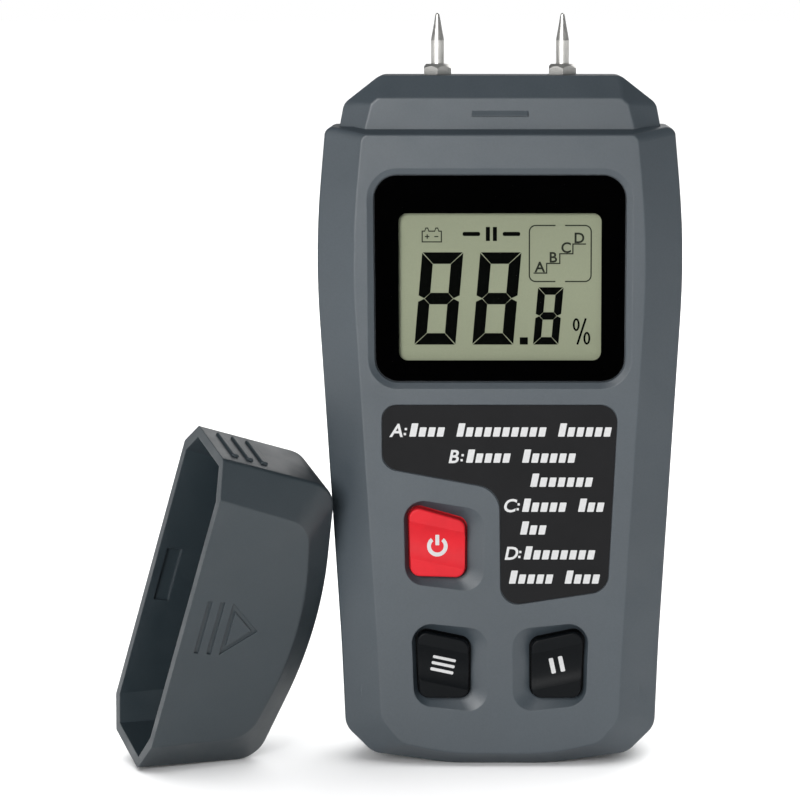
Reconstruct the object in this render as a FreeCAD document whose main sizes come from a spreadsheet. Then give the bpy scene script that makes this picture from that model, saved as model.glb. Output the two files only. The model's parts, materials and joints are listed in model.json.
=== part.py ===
import FreeCAD, Part
import math
import os
import Sketcher
from FreeCAD import Placement, Rotation, Vector

# Two-pin moisture meter with its loose pin cap, in millimetres.
# Origin: middle of the flat on the bottom end. X: right, Y: from the keys to the back, Z: up to the pins.

doc = FreeCAD.newDocument("moisture_meter")

# Longer than any wall that a through cut has to pass.
THROUGH = 30

DIMENSIONS = {
    # outer case
    "top_half": (30.9, "half width of the case at its shoulder"),
    "top_level": (115.5, "height of the shoulder under the cap"),
    "belly_half": (32.9, "half width where the sides would meet at the belly"),
    "belly_level": (93.9, "height of the belly"),
    "waist_half": (28.75, "half width where the sides turn upright"),
    "waist_level": (23.2, "height of that turn"),
    "corner_half": (28.1, "half width at the top of the bottom corner facet"),
    "corner_level": (6.9, "height of the top of the bottom corner facet"),
    "facet_half": (23.2, "half width at the foot of the bottom corner facet"),
    "facet_level": (2.0, "height of the foot of the bottom corner facet"),
    "flat_half": (9.0, "half width of the flat that the meter stands on"),
    "belly_round": (160.0, "radius of the side at the belly"),
    "waist_round": (200.0, "radius of the side at the waist"),
    "corner_round": (4.0, "radius at the facet corners"),
    "top_round": (1.6, "radius at the ends of the shoulder"),
    "top_drop": (1.2, "rounding down of the shoulder at the front and back faces"),
    "foot_rise": (2.6, "rise of the foot at the front and back faces"),
    "front_depth": (11.0, "parting plane to front face"),
    "shoulder_depth": (11.0, "parting plane to back face at the shoulder"),
    "back_depth": (17.0, "parting plane to back face over the battery"),
    "front_bevel_wide": (6.7, "front bevel across the width"),
    "front_bevel_deep": (3.4, "front bevel along the depth"),
    "back_bevel_wide": (5.0, "back bevel across the width"),
    "back_bevel_deep": (4.5, "back bevel along the depth"),
    "wall": (2.0, "wall thickness of the case"),
    # head that carries the pins
    "head_level": (124.5, "top of the head"),
    "head_half": (28.4, "half width of the head at the shoulder"),
    "head_side_half": (27.6, "half width of the head under its corner facet"),
    "head_side_level": (119.6, "height of that point"),
    "head_top_half": (21.3, "half width of the top of the head"),
    "head_root_level": (109.0, "height where the head starts inside the case"),
    "head_depth": (8.7, "parting plane to the front or back of the head"),
    "head_face_half": (23.7, "half width of the head's face at the shoulder"),
    "head_face_side_half": (22.6, "half width of that face under its corner"),
    "head_face_side_level": (119.6, "height of that point"),
    "head_face_top_half": (21.6, "half width of the top of that face"),
    "head_face_level": (120.5, "top of that face"),
    "head_face_round": (0.8, "radius at the corners of that face"),
    "head_bevel_deep": (2.4, "bevel of the head along the depth"),
    "head_round": (2.5, "radius at the corners of the head"),
    # rounded edges
    "face_edge_round": (0.5, "radius where a bevel meets the front or back face"),
    "side_edge_round": (0.5, "radius where a bevel meets the sides"),
    "head_edge_round": (0.8, "radius around the faces of the head"),
    # battery bulge
    "bulge_level": (95.0, "top of the slope of the battery bulge"),
    "bulge_foot_half": (16.0, "half width of the foot of the bulge"),
    "bulge_slope": (4.5, "width of that slope"),
    # catch for the cap, and saddles for the sockets
    "catch_level": (117.4, "lower lip of the catch"),
    "catch_tall": (1.9, "height of the catch"),
    "catch_wide": (9.9, "width of the catch"),
    "catch_proud": (0.45, "catch in front of the head"),
    "saddle_low": (116.2, "foot of the socket saddles"),
    "socket_dia": (5.6, "diameter of a pin socket"),
    # board posts
    "post_x": (17.2, "board post from the centreline"),
    "post_low": (29.5, "lower board posts"),
    "post_high": (65.0, "upper board posts"),
    "post_dia": (3.8, "diameter of a board post"),
    "post_screw_dia": (1.6, "diameter of a board screw"),
    # battery door
    "hinge_dia": (1.3, "diameter of the hinge pegs of the battery door"),
    "hinge_play": (0.05, "radial clearance of a hinge peg"),
    "hinge_long": (1.1, "length of a hinge peg"),
    "screw_seat": (6.0, "parting plane to the seat of a case screw"),
    # window
    "lens_half": (22.2, "half width of the window lens"),
    "lens_low": (70.5, "lower edge of the window lens"),
    "lens_high": (107.1, "upper edge of the window lens"),
    "lens_round": (4.1, "corner radius of the window lens"),
    "lens_thick": (0.9, "thickness of the window lens"),
    "lens_sink": (0.55, "front face to window lens"),
    "lens_rim": (1.3, "width of the sloping rim around the lens"),
    "glass_opening_half": (18.95, "half width of the opening behind the lens"),
    "glass_opening_low": (73.3, "lower edge of the opening behind the lens"),
    "glass_opening_high": (101.3, "upper edge of the opening behind the lens"),
    # keys: corners are outer top, inner top, inner bottom, outer bottom
    "small_outer_top_x": (15.0, "lower key, outer top corner from the centreline"),
    "small_outer_top_z": (25.6, "lower key, outer top corner height"),
    "small_inner_top_x": (5.6, "lower key, inner top corner from the centreline"),
    "small_inner_top_z": (23.6, "lower key, inner top corner height"),
    "small_inner_foot_x": (5.7, "lower key, inner bottom corner from the centreline"),
    "small_inner_foot_z": (13.1, "lower key, inner bottom corner height"),
    "small_outer_foot_x": (14.5, "lower key, outer bottom corner from the centreline"),
    "small_outer_foot_z": (13.1, "lower key, outer bottom corner height"),
    "power_outer_top_x": (16.3, "power key, outer top corner from the centreline"),
    "power_outer_top_z": (48.3, "power key, outer top corner height"),
    "power_inner_top_x": (6.2, "power key, inner top corner from the centreline"),
    "power_inner_top_z": (45.4, "power key, inner top corner height"),
    "power_inner_foot_x": (6.3, "power key, inner bottom corner from the centreline"),
    "power_inner_foot_z": (35.2, "power key, inner bottom corner height"),
    "power_outer_foot_x": (16.0, "power key, outer bottom corner from the centreline"),
    "power_outer_foot_z": (35.5, "power key, outer bottom corner height"),
    "key_round": (1.7, "corner radius of a key"),
    "key_gap": (0.35, "gap between a key and its hole"),
    "key_proud": (0.7, "key face in front of the case face"),
    "key_travel": (0.6, "travel of a key"),
    "well_inner": (3.4, "sloping well around a key, towards the centreline"),
    "well_outer": (1.0, "sloping well around a key, away from the centreline"),
    "well_above": (2.0, "sloping well around a key, above it"),
    "well_below": (3.0, "sloping well around a key, below it"),
    "well_deep": (1.15, "depth of the well at the key"),
    "well_round": (3.6, "corner radius of the well at the case face"),
    "flange_margin": (0.9, "key flange beyond its hole"),
    "flange_thick": (0.9, "thickness of a key flange"),
    # printed panel
    "panel_half": (20.95, "half width of the printed panel"),
    "panel_high": (66.3, "upper edge of the printed panel"),
    "panel_leg_low": (29.8, "foot of the printed panel's leg"),
    "panel_step": (51.2, "inner corner between the printed panel and its leg"),
    "panel_thick": (0.3, "thickness of the printed panel"),
    "panel_sink": (0.4, "depth of the recess for the printed panel"),
    # electronics
    "board_front": (5.6, "parting plane to the front face of the main board"),
    "board_thick": (1.2, "thickness of the main board"),
    "board_half": (19.6, "half width of the main board"),
    "board_low": (12.6, "lower edge of the main board"),
    "board_high": (105.8, "upper edge of the main board"),
    # battery
    "battery_wide": (26.4, "width of the battery"),
    "battery_deep": (17.3, "depth of the battery"),
    "battery_tall": (46.0, "height of the battery body"),
    "battery_low": (9.8, "height of the foot of the battery"),
    "battery_back": (14.9, "parting plane to the back of the battery"),
    "bay_half": (14.1, "half width inside the battery bay"),
    "bay_low": (8.4, "foot of the battery bay"),
    "bay_high": (62.0, "top of the battery bay"),
    "bay_front": (2.6, "front of the bay, ahead of the parting plane"),
    "bay_wall": (1.1, "wall of the battery bay"),
    "door_half": (15.8, "half width of the battery door"),
    "door_low": (6.6, "lower edge of the battery door"),
    "door_high": (64.0, "upper edge of the battery door"),
    "door_thick": (1.8, "thickness of the battery door"),
    "door_gap": (0.3, "gap around the battery door"),
    # pins
    "pin_half_spacing": (11.15, "centreline to a pin"),
    "pin_dia": (2.36, "diameter of a pin"),
    "pin_taper_level": (130.6, "height where the point of a pin starts"),
    "pin_tip_level": (135.4, "height of the tip of a pin"),
    "pin_tip_dia": (0.7, "diameter of the blunted tip"),
    "hex_flats": (4.8, "hexagon of a pin across its flats"),
    "hex_tall": (1.9, "height of the hexagon"),
    "stud_dia": (2.9, "diameter of the threaded end of a pin"),
    # cap
    "cap_tall": (26.4, "mouth to the crown of the cap"),
    "cap_corner_level": (22.5, "mouth to where the crown meets the tapered sides"),
    "cap_corner_half": (27.7, "half width of the cap at that level"),
    "cap_wall": (1.7, "wall thickness of the cap"),
    "cap_corner_round": (5.5, "radius between the crown and the sides"),
    "cap_bevel_wide": (6.4, "front bevel of the cap across its faces"),
    "cap_bevel_deep": (3.6, "front bevel of the cap along the depth"),
    # display
    "glass_half": (20.8, "half width of the display glass"),
    "glass_low": (70.9, "lower edge of the display glass"),
    "glass_high": (103.8, "upper edge of the display glass"),
    "glass_thick": (1.7, "thickness of the display glass"),
    "strip_tall": (2.4, "glass edge to the inner side of a contact strip"),
    # keys and switches
    "dish_radius": (7.5, "radius of the dish across a key"),
    "dish_deep": (0.75, "depth of that dish"),
    "key_edge_round": (0.35, "radius around a key's face"),
    "switch_half": (3.0, "half width of a push switch"),
    "switch_tall": (1.6, "height of a push switch"),
    "plunger_dia": (3.2, "diameter of a switch plunger"),
    # wires and battery clip
    "wire_dia": (1.2, "diameter of the wires"),
    "terminal_x": (6.35, "battery stud from the centreline"),
    "door_edge_round": (0.5, "radius at the ends of the battery door"),
    # cap details
    "cap_mouth_half": (31.0, "half width of the cap at its mouth"),
    "cap_crown_round": (80.0, "radius of the crown"),
    "cap_bevel_tall": (4.6, "front bevel of the cap at its crown"),
    "cap_edge_round": (0.8, "radius where the cap's bevels meet its faces"),
    "rib_start": (3.2, "mouth to the first grip rib"),
    "rib_step": (2.9, "spacing of the grip ribs"),
    "rib_wide": (1.3, "width of a grip rib"),
    "rib_proud": (0.5, "height of a grip rib"),
    "rib_long": (9.0, "length of a grip rib"),
    "mark_start": (3.0, "mouth to the pull mark"),
    "mark_half": (5.2, "half length of the bars of the pull mark"),
    "mark_line": (0.8, "line width of the pull mark"),
    "mark_step": (2.4, "spacing of the lines of the pull mark"),
    "mark_peak": (6.0, "height of the triangle of the pull mark"),
    "mark_deep": (0.35, "depth of the pull mark"),
    # rest place of the loose cap
    "cap_turn": (27.0, "turn of the cap about the vertical"),
    "cap_lean": (10.0, "lean of the cap against the case"),
    "cap_tip": (17.0, "tip of the cap towards the front"),
    "cap_rest_x": (-59.55, "middle of the cap's mouth at rest"),
    "cap_rest_y": (-12.6, "middle of the cap's mouth at rest"),
    "cap_rest_z": (31.9, "middle of the cap's mouth at rest"),
    # fasteners
    "screw_x": (22.6, "case screw from the centreline"),
    "screw_low": (14.0, "lower case screws"),
    "screw_high": (108.9, "upper case screws"),
    "screw_head_dia": (4.8, "diameter of a case screw's head"),
    "screw_dia": (2.4, "diameter of a case screw's shank"),
    "boss_dia": (5.4, "diameter of a screw boss"),
    "low_tube_long": (7.2, "length of the lower screw tubes"),
    "high_tube_long": (9.2, "length of the upper screw tubes"),
    # play, insets and small parts
    "flat_round": (40.0, "radius where the flat runs into the bottom slopes"),
    "saddle_half": (4.4, "half width of a socket saddle"),
    "saddle_tall": (2.2, "height of a socket saddle"),
    "socket_play": (0.1, "diametral play of a socket in its saddles"),
    "stud_play": (0.5, "diametral play of a pin in the top of the head"),
    "boss_bore_deep": (7.5, "depth of the thread bore of a screw boss"),
    "post_bore_deep": (2.6, "depth of the thread bore of a board post"),
    "tube_wall": (1.4, "screw tube beyond the boss diameter"),
    "shank_play": (0.6, "diametral play of a case screw in its hole"),
    "head_play": (0.5, "diametral play of a case screw head in its sink"),
    "lens_play": (0.15, "gap around the window lens"),
    "opening_round": (1.5, "corner radius of the opening behind the lens"),
    "panel_play": (0.12, "gap around the printed panel"),
    "bay_round": (0.8, "corner radius inside the battery bay"),
    "slot_half": (6.0, "half width of the wire slot"),
    "slot_reach": (3.0, "wire slot above and below the top of the bay"),
    "slot_deep": (5.5, "depth of the wire slot"),
    "frame_rim": (1.2, "display frame outside the glass"),
    "frame_play": (0.2, "gap between the display frame and the glass"),
    "strip_inset": (1.8, "end of a contact strip from the edge of the glass"),
    "strip_gap": (0.3, "gap along a contact strip"),
    "flange_play": (0.12, "gap between a key flange and the case"),
    "plunger_play": (0.5, "diametral play of a plunger in its switch"),
    "capacitor_dia": (5.0, "diameter of the capacitor"),
    "capacitor_tall": (5.5, "height of the capacitor"),
    "capacitor_round": (0.5, "radius around the top of the capacitor"),
    "trimmer_slot_deep": (0.6, "depth of the screwdriver slot of the trimmer"),
    "chip_half_wide": (0.9, "half width of a chip part"),
    "chip_half_tall": (0.6, "half height of a chip part"),
    "chip_thick": (0.6, "thickness of a chip part"),
    "battery_round": (2.0, "radius of the long edges of the battery"),
    "minus_dia": (7.6, "diameter of the negative stud"),
    "plus_dia": (5.8, "diameter of the positive stud"),
    "terminal_tall": (2.2, "height of a battery stud"),
    "clip_inset": (0.6, "battery clip inside the width of the battery"),
    "clip_half": (5.2, "half depth of the battery clip"),
    "clip_thick": (2.2, "thickness of the battery clip"),
    "clip_round": (1.2, "corner radius of the battery clip"),
    "clip_gap": (0.1, "gap between a stud and the clip"),
    "foam_half": (9.0, "half width of the foam pad"),
    "foam_inset": (3.0, "foam pad inside the depth of the battery"),
    "foam_gap": (0.05, "gap on either side of the foam pad"),
    "thumb_half": (7.0, "half width of the thumb recess of the battery door"),
    "thumb_low": (3.0, "foot of the door to the thumb recess"),
    "thumb_high": (14.0, "foot of the door to the top of the thumb recess"),
    "thumb_round": (3.0, "corner radius of the thumb recess"),
    "thumb_deep": (0.7, "depth of the thumb recess"),
    "grip_start": (5.4, "foot of the door to its first grip line"),
    "grip_step": (2.8, "spacing of the grip lines"),
    "grip_half": (5.0, "half length of a grip line"),
    "grip_wide": (1.0, "width of a grip line"),
    "grip_round": (0.45, "radius at the ends of a grip line"),
    "hinge_end_gap": (0.2, "gap at the end of a hinge peg"),
    "case_head_tall": (1.8, "height of the head of a case screw"),
    "case_shank_long": (12.9, "length of the shank of a case screw"),
    "thread_play": (0.1, "screw shank under its nominal diameter"),
    "cross_half": (1.5, "half length of the cross recess of a case screw"),
    "cross_line": (0.3, "half width of that recess"),
    "cross_floor": (1.1, "seat of a case screw to the floor of its recess"),
    "board_head_dia": (3.0, "diameter of the head of a board screw"),
    "board_head_tall": (0.9, "height of the head of a board screw"),
    "board_shank_long": (3.5, "length of the shank of a board screw"),
    "stud_long": (7.2, "length of the threaded end of a pin"),
    "tip_tall": (0.2, "height of the blunted tip"),
    "collar_wide": (1.8, "collar of a socket beyond its diameter"),
    "collar_tall": (1.4, "height of the collar of a socket"),
    "socket_foot": (1.2, "socket below its saddles"),
    "tag_thick": (0.4, "thickness of a solder tag"),
    "tag_half": (1.0, "half width of the tail of a solder tag"),
    "tag_long": (4.0, "length of the tail of a solder tag"),
    "tag_depth": (1.6, "centreline to the tail of a solder tag"),
}

sheet = doc.addObject("Spreadsheet::Sheet", "dims")
for row, (alias, (number, meaning)) in enumerate(DIMENSIONS.items(), start=1):
    sheet.set(f"A{row}", meaning)
    sheet.set(f"B{row}", str(number))
    sheet.setAlias(f"B{row}", alias)
doc.recompute()


class Size:
    """A length that knows both its number and its spreadsheet formula."""

    def __init__(self, number, formula):
        self.number = float(number)
        self.formula = formula

    def combine(self, other, sign):
        other = as_size(other)
        result = {
            "+": self.number + other.number,
            "-": self.number - other.number,
            "*": self.number * other.number,
            "/": self.number / other.number if other.number else 0.0,
        }[sign]
        return Size(result, f"({self.formula} {sign} {other.formula})")

    def __add__(self, other):
        return self.combine(other, "+")

    def __sub__(self, other):
        return self.combine(other, "-")

    def __mul__(self, other):
        return self.combine(other, "*")

    def __truediv__(self, other):
        return self.combine(other, "/")

    def __radd__(self, other):
        return as_size(other).combine(self, "+")

    def __rsub__(self, other):
        return as_size(other).combine(self, "-")

    __rmul__ = __mul__

    def __neg__(self):
        return self.combine(-1, "*")


def as_size(length):
    return length if isinstance(length, Size) else Size(length, f"({length})")


def dim(alias):
    return Size(sheet.get(alias), f"dims.{alias}")


# ---------------------------------------------------------------- sketches and features


def new_body(label):
    body = doc.addObject("PartDesign::Body", label)
    body.Label = label
    return body


def sketch_on(body, role, name, level=0):
    """Empty sketch on one of the body's own planes, level along the plane's normal.

    On XZ_Plane the normal is -Y: a positive level is towards the keys.
    """
    plane = next(item for item in body.Origin.OriginFeatures if item.Role == role)
    sketch = body.newObject("Sketcher::SketchObject", name)
    sketch.AttachmentSupport = [(plane, "")]
    sketch.MapMode = "FlatFace"
    sketch.setExpression("AttachmentOffset.Base.z", as_size(level).formula)
    return sketch


def bind(sketch, kind, *rest):
    """Add a dimension whose last argument is a Size, and tie it to the spreadsheet."""
    *places, length = rest
    index = sketch.addConstraint(Sketcher.Constraint(kind, *places, length.number))
    sketch.setExpression(f"Constraints[{index}]", length.formula)


def outline(sketch, corners):
    """Closed outline through corners [(x, y) or (x, y, radius), ...] given as Sizes."""
    points = [Vector(as_size(c[0]).number, as_size(c[1]).number, 0) for c in corners]
    radii = [as_size(c[2]) if len(c) > 2 else None for c in corners]
    count = len(corners)
    starts, ends, arcs = [], [], []
    for i, corner in enumerate(points):
        before = (points[i - 1] - corner).normalize()
        after = (points[(i + 1) % count] - corner).normalize()
        if radii[i] is None:
            starts.append(corner)
            ends.append(corner)
            arcs.append(None)
            continue
        half_angle = before.getAngle(after) / 2
        reach = radii[i].number / math.tan(half_angle)
        first = corner + before * reach
        last = corner + after * reach
        inward = (before + after).normalize()
        centre = corner + inward * (radii[i].number / math.sin(half_angle))
        middle = centre - inward * radii[i].number
        ends.append(first)
        starts.append(last)
        arcs.append(Part.Arc(first, middle, last))
    lines = [
        sketch.addGeometry(Part.LineSegment(starts[i], ends[(i + 1) % count]), False)
        for i in range(count)
    ]
    for i, corner in enumerate(points):
        line_in, line_out = lines[i - 1], lines[i]
        x, y = as_size(corners[i][0]), as_size(corners[i][1])
        if arcs[i] is None:
            sketch.addConstraint(Sketcher.Constraint("Coincident", line_in, 2, line_out, 1))
            bind(sketch, "DistanceX", -1, 1, line_out, 1, x)
            bind(sketch, "DistanceY", -1, 1, line_out, 1, y)
            continue
        arc = sketch.addGeometry(arcs[i], False)
        from_start = sketch.getPoint(arc, 1).distanceToPoint(ends[i]) < 1e-6
        near, far = (1, 2) if from_start else (2, 1)
        sketch.addConstraint(Sketcher.Constraint("Tangent", line_in, 2, arc, near))
        sketch.addConstraint(Sketcher.Constraint("Tangent", line_out, 1, arc, far))
        bind(sketch, "Radius", arc, radii[i])
        mark = sketch.addGeometry(Part.Point(corner), True)
        sketch.addConstraint(Sketcher.Constraint("PointOnObject", mark, 1, line_in))
        sketch.addConstraint(Sketcher.Constraint("PointOnObject", mark, 1, line_out))
        bind(sketch, "DistanceX", -1, 1, mark, 1, x)
        bind(sketch, "DistanceY", -1, 1, mark, 1, y)


def circles(sketch, centres, diameter):
    for x, y in centres:
        x, y = as_size(x), as_size(y)
        circle = Part.Circle(Vector(x.number, y.number, 0), Vector(0, 0, 1), diameter.number / 2)
        index = sketch.addGeometry(circle, False)
        bind(sketch, "Diameter", index, diameter)
        bind(sketch, "DistanceX", -1, 1, index, 3, x)
        bind(sketch, "DistanceY", -1, 1, index, 3, y)


def rectangle(x_low, x_high, y_low, y_high, radius=None):
    corners = [(x_low, y_low), (x_high, y_low), (x_high, y_high), (x_low, y_high)]
    return corners if radius is None else [(*corner, radius) for corner in corners]


def feature(body, kind, name, sketch, length, backwards=False, both_ways=False):
    item = body.newObject(f"PartDesign::{kind}", name)
    item.Profile = sketch
    item.SideType = "Symmetric" if both_ways else "One side"
    item.Refine = False
    item.Reversed = backwards
    item.setExpression("Length", as_size(length).formula)
    doc.recompute()
    return item


def pad(body, name, sketch, length, backwards=False, both_ways=False):
    return feature(body, "Pad", name, sketch, length, backwards, both_ways)


def pocket(body, name, sketch, length, backwards=False, both_ways=False):
    before = body.Shape.Volume
    item = feature(body, "Pocket", name, sketch, length, backwards, both_ways)
    assert body.Shape.Volume < before, f"{name} cuts nothing"
    return item


def edges_where(item, test):
    """Names of the edges of a feature whose bounding box passes the test."""
    return [f"Edge{i}" for i, edge in enumerate(item.Shape.Edges, start=1) if test(edge.BoundBox)]


def fillet(body, name, test, radius):
    base = body.Tip
    item = body.newObject("PartDesign::Fillet", name)
    item.Base = (base, edges_where(base, test))
    item.Refine = False
    item.setExpression("Radius", as_size(radius).formula)
    doc.recompute()
    return item


def mirrored_outline(right_side):
    """Corners up the right side, from the bottom, then down the left."""
    left_side = [(-as_size(c[0]), *c[1:]) for c in reversed(right_side)]
    return right_side + left_side


def case_corners(side=0, top=0, foot=0):
    """Front view of the case, with its sides, top and foot moved inwards."""
    return mirrored_outline([
        (dim("flat_half"), as_size(foot), dim("flat_round")),
        (dim("facet_half") - side * 0.8, dim("facet_level") + foot, dim("corner_round")),
        (dim("corner_half") - side, dim("corner_level") + foot * 0.8, dim("corner_round")),
        (dim("waist_half") - side, dim("waist_level"), dim("waist_round")),
        (dim("belly_half") - side, dim("belly_level"), dim("belly_round")),
        (dim("top_half") - side, dim("top_level") - top, dim("top_round")),
    ])


def head_corners():
    return mirrored_outline([
        (dim("head_half"), dim("head_root_level")),
        (dim("head_half"), dim("top_level")),
        (dim("head_side_half"), dim("head_side_level"), dim("head_round")),
        (dim("head_top_half"), dim("head_level"), dim("head_round")),
    ])


def head_face_corners():
    """Front or back face of the head, with as many corners as its outline."""
    return mirrored_outline([
        (dim("head_face_half"), dim("head_root_level")),
        (dim("head_face_half"), dim("top_level")),
        (dim("head_face_side_half"), dim("head_face_side_level"), dim("head_face_round")),
        (dim("head_face_top_half"), dim("head_face_level"), dim("head_face_round")),
    ])


def placed_sketch(body, name, corners, level, role="XZ_Plane"):
    sketch = sketch_on(body, role, name, level)
    outline(sketch, corners)
    doc.recompute()
    return sketch


def loft(body, name, first, last, subtractive=False):
    before = body.Shape.Volume
    kind = "SubtractiveLoft" if subtractive else "AdditiveLoft"
    item = body.newObject(f"PartDesign::{kind}", name)
    item.Profile = first
    item.Sections = [last]
    item.Ruled = True
    item.Refine = False
    doc.recompute()
    assert (body.Shape.Volume < before) == subtractive, f"{name} has no effect"
    return item


def at_level(y, margin=0.01):
    """Test for edges that lie flat at one depth y."""
    return lambda box: abs(box.YMin - y) < margin and abs(box.YMax - y) < margin


# ---------------------------------------------------------------- simple solids


def box(name, x, y, z):
    """Part::Box between the lowest and highest Size on each axis."""
    item = doc.addObject("Part::Box", name)
    for prop, axis, (low, high) in (("Length", "x", x), ("Width", "y", y), ("Height", "z", z)):
        item.setExpression(prop, (as_size(high) - as_size(low)).formula)
        item.setExpression(f"Placement.Base.{axis}", as_size(low).formula)
    return item


def cylinder(name, diameter, length, x, y, z, axis=Vector(0, 0, 1)):
    """Part::Cylinder that starts at a point and runs along an axis."""
    item = doc.addObject("Part::Cylinder", name)
    item.setExpression("Radius", (as_size(diameter) / 2).formula)
    item.setExpression("Height", as_size(length).formula)
    item.Placement = Placement(Vector(0, 0, 0), Rotation(Vector(0, 0, 1), axis))
    for letter, place in (("x", x), ("y", y), ("z", z)):
        item.setExpression(f"Placement.Base.{letter}", as_size(place).formula)
    return item


def cone(name, low_diameter, high_diameter, length, x, y, z):
    item = doc.addObject("Part::Cone", name)
    item.setExpression("Radius1", (as_size(low_diameter) / 2).formula)
    item.setExpression("Radius2", (as_size(high_diameter) / 2).formula)
    item.setExpression("Height", as_size(length).formula)
    for letter, place in (("x", x), ("y", y), ("z", z)):
        item.setExpression(f"Placement.Base.{letter}", as_size(place).formula)
    return item


def fuse(name, items):
    if len(items) == 1:
        return items[0]
    item = doc.addObject("Part::MultiFuse", name)
    item.Shapes = items
    return item


def cut(name, base, tools):
    item = doc.addObject("Part::Cut", name)
    item.Base = base
    item.Tool = fuse(f"{name}_tools", tools)
    return item


def group(name, items):
    """Separate solids that share one node."""
    item = doc.addObject("Part::Compound", name)
    item.Links = items
    return item


def rounded(name, base, radius, test):
    """Part::Fillet on the edges of a finished solid that pass the test."""
    doc.recompute()
    item = doc.addObject("Part::Fillet", name)
    item.Base = base
    chosen = [i for i, e in enumerate(base.Shape.Edges, start=1) if test(e.BoundBox)]
    item.Edges = [(i, radius.number, radius.number) for i in chosen]
    return item


nodes = {}


def node(label, item):
    item.Label = label
    nodes[label] = item
    return item


SIDES = (("left", -1), ("right", 1))
KEYS = (("power", "power", -1), ("mode", "small", -1), ("hold", "small", 1))


# ---------------------------------------------------------------- front case


def key_corners(kind, side, grow=0, radius=None):
    """Outline of a key, grown on every side, with the outer edge on the given side."""
    radius = dim("key_round") + grow if radius is None else radius
    outer_top = (dim(f"{kind}_outer_top_x") + grow, dim(f"{kind}_outer_top_z") + grow * 1.2)
    inner_top = (dim(f"{kind}_inner_top_x") - grow, dim(f"{kind}_inner_top_z") + grow * 0.8)
    inner_foot = (dim(f"{kind}_inner_foot_x") - grow, dim(f"{kind}_inner_foot_z") - grow)
    outer_foot = (dim(f"{kind}_outer_foot_x") + grow, dim(f"{kind}_outer_foot_z") - grow)
    corners = [outer_top, inner_top, inner_foot, outer_foot]
    return [(x * side, z, radius) for x, z in corners]


def well_corners(kind, side):
    """Rim of the sloping well around a key: wide towards the centreline and below."""
    inner, outer = dim("well_inner"), dim("well_outer")
    above, below = dim("well_above"), dim("well_below")
    corners = [
        (dim(f"{kind}_outer_top_x") + outer, dim(f"{kind}_outer_top_z") + above * 0.7),
        (dim(f"{kind}_inner_top_x") - inner, dim(f"{kind}_inner_top_z") + above),
        (dim(f"{kind}_inner_foot_x") - inner, dim(f"{kind}_inner_foot_z") - below),
        (dim(f"{kind}_outer_foot_x") + outer, dim(f"{kind}_outer_foot_z") - below * 0.5),
    ]
    return [(x * side, z, dim("well_round")) for x, z in corners]


def panel_corners(grow=0):
    """The printed panel: wide at the top, with a leg down its right side."""
    edge = dim("panel_half") + grow
    return [
        (-edge, dim("panel_high") + grow, 2.6),
        (edge, dim("panel_high") + grow, 3.0),
        (dim("panel_half") - 1.7 + grow, dim("panel_leg_low") + 2.9 - grow, 3.4),
        (0.2 - as_size(grow), dim("panel_leg_low") - grow, 3.2),
        (0.0 - as_size(grow), dim("panel_step") - grow, 4.6),
        (-edge, dim("panel_step") + 3.9 - grow, 3.0),
    ]


def lens_corners(grow=0):
    half = dim("lens_half") + grow
    low, high = dim("lens_low") - grow, dim("lens_high") + grow
    round_ = dim("lens_round") + grow
    return [
        (half - 0.1, low, round_),
        (half, high, round_),
        (-half, high, round_),
        (-half + 0.1, low, round_),
    ]


def outer_form(body, back):
    """Case half with its bevels and its half of the head, before it is hollowed."""
    depth = dim("shoulder_depth" if back else "front_depth")
    wide = dim("back_bevel_wide" if back else "front_bevel_wide")
    deep = dim("back_bevel_deep" if back else "front_bevel_deep")
    sign = -1 if back else 1
    straight = depth - deep
    face = case_corners(wide, dim("top_drop"), dim("foot_rise"))
    pad(body, "case", placed_sketch(body, "case_outline", case_corners(), 0), straight, back)
    foot = placed_sketch(body, "bevel_foot", case_corners(), straight * sign)
    loft(body, "bevel", foot, placed_sketch(body, "bevel_face", face, depth * sign))
    if back:
        bulge_foot = placed_sketch(body, "bulge_foot", bulge_corners(0), depth * -1)
        bulge_face = bulge_corners(dim("bulge_slope"))
        bulge_top = placed_sketch(body, "bulge_top", bulge_face, dim("back_depth") * -1)
        loft(body, "bulge", bulge_foot, bulge_top)
        fillet(body, "bulge_edge", at_level(dim("back_depth").number), dim("face_edge_round"))
    else:
        fillet(body, "face_edge", at_level(-depth.number), dim("face_edge_round"))
    fillet(body, "side_edge", at_level(-sign * straight.number), dim("side_edge_round"))
    head_straight = dim("head_depth") - dim("head_bevel_deep")
    pad(body, "head", placed_sketch(body, "head_outline", head_corners(), 0), head_straight, back)
    head_foot = placed_sketch(body, "head_bevel_foot", head_corners(), head_straight * sign)
    head_top = placed_sketch(body, "head_bevel_face", head_face_corners(), dim("head_depth") * sign)
    loft(body, "head_bevel", head_foot, head_top)
    level = at_level(-sign * dim("head_depth").number)
    above = dim("top_level").number
    fillet(body, "head_edge", lambda b: level(b) and b.ZMax > above + 0.5, dim("head_edge_round"))


def bulge_corners(slope):
    """Back of the case over the battery, seen from the front."""
    wide = dim("back_bevel_wide")
    return mirrored_outline([
        (dim("bulge_foot_half"), dim("foot_rise") + 0.4 + slope * 0.25, 5),
        (dim("corner_half") - wide - 0.8 - slope * 0.6, dim("foot_rise") + 5 + slope * 0.5, 5),
        (dim("belly_half") - wide - 1.6 - slope, dim("bulge_level") - slope, 5),
    ])


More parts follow.
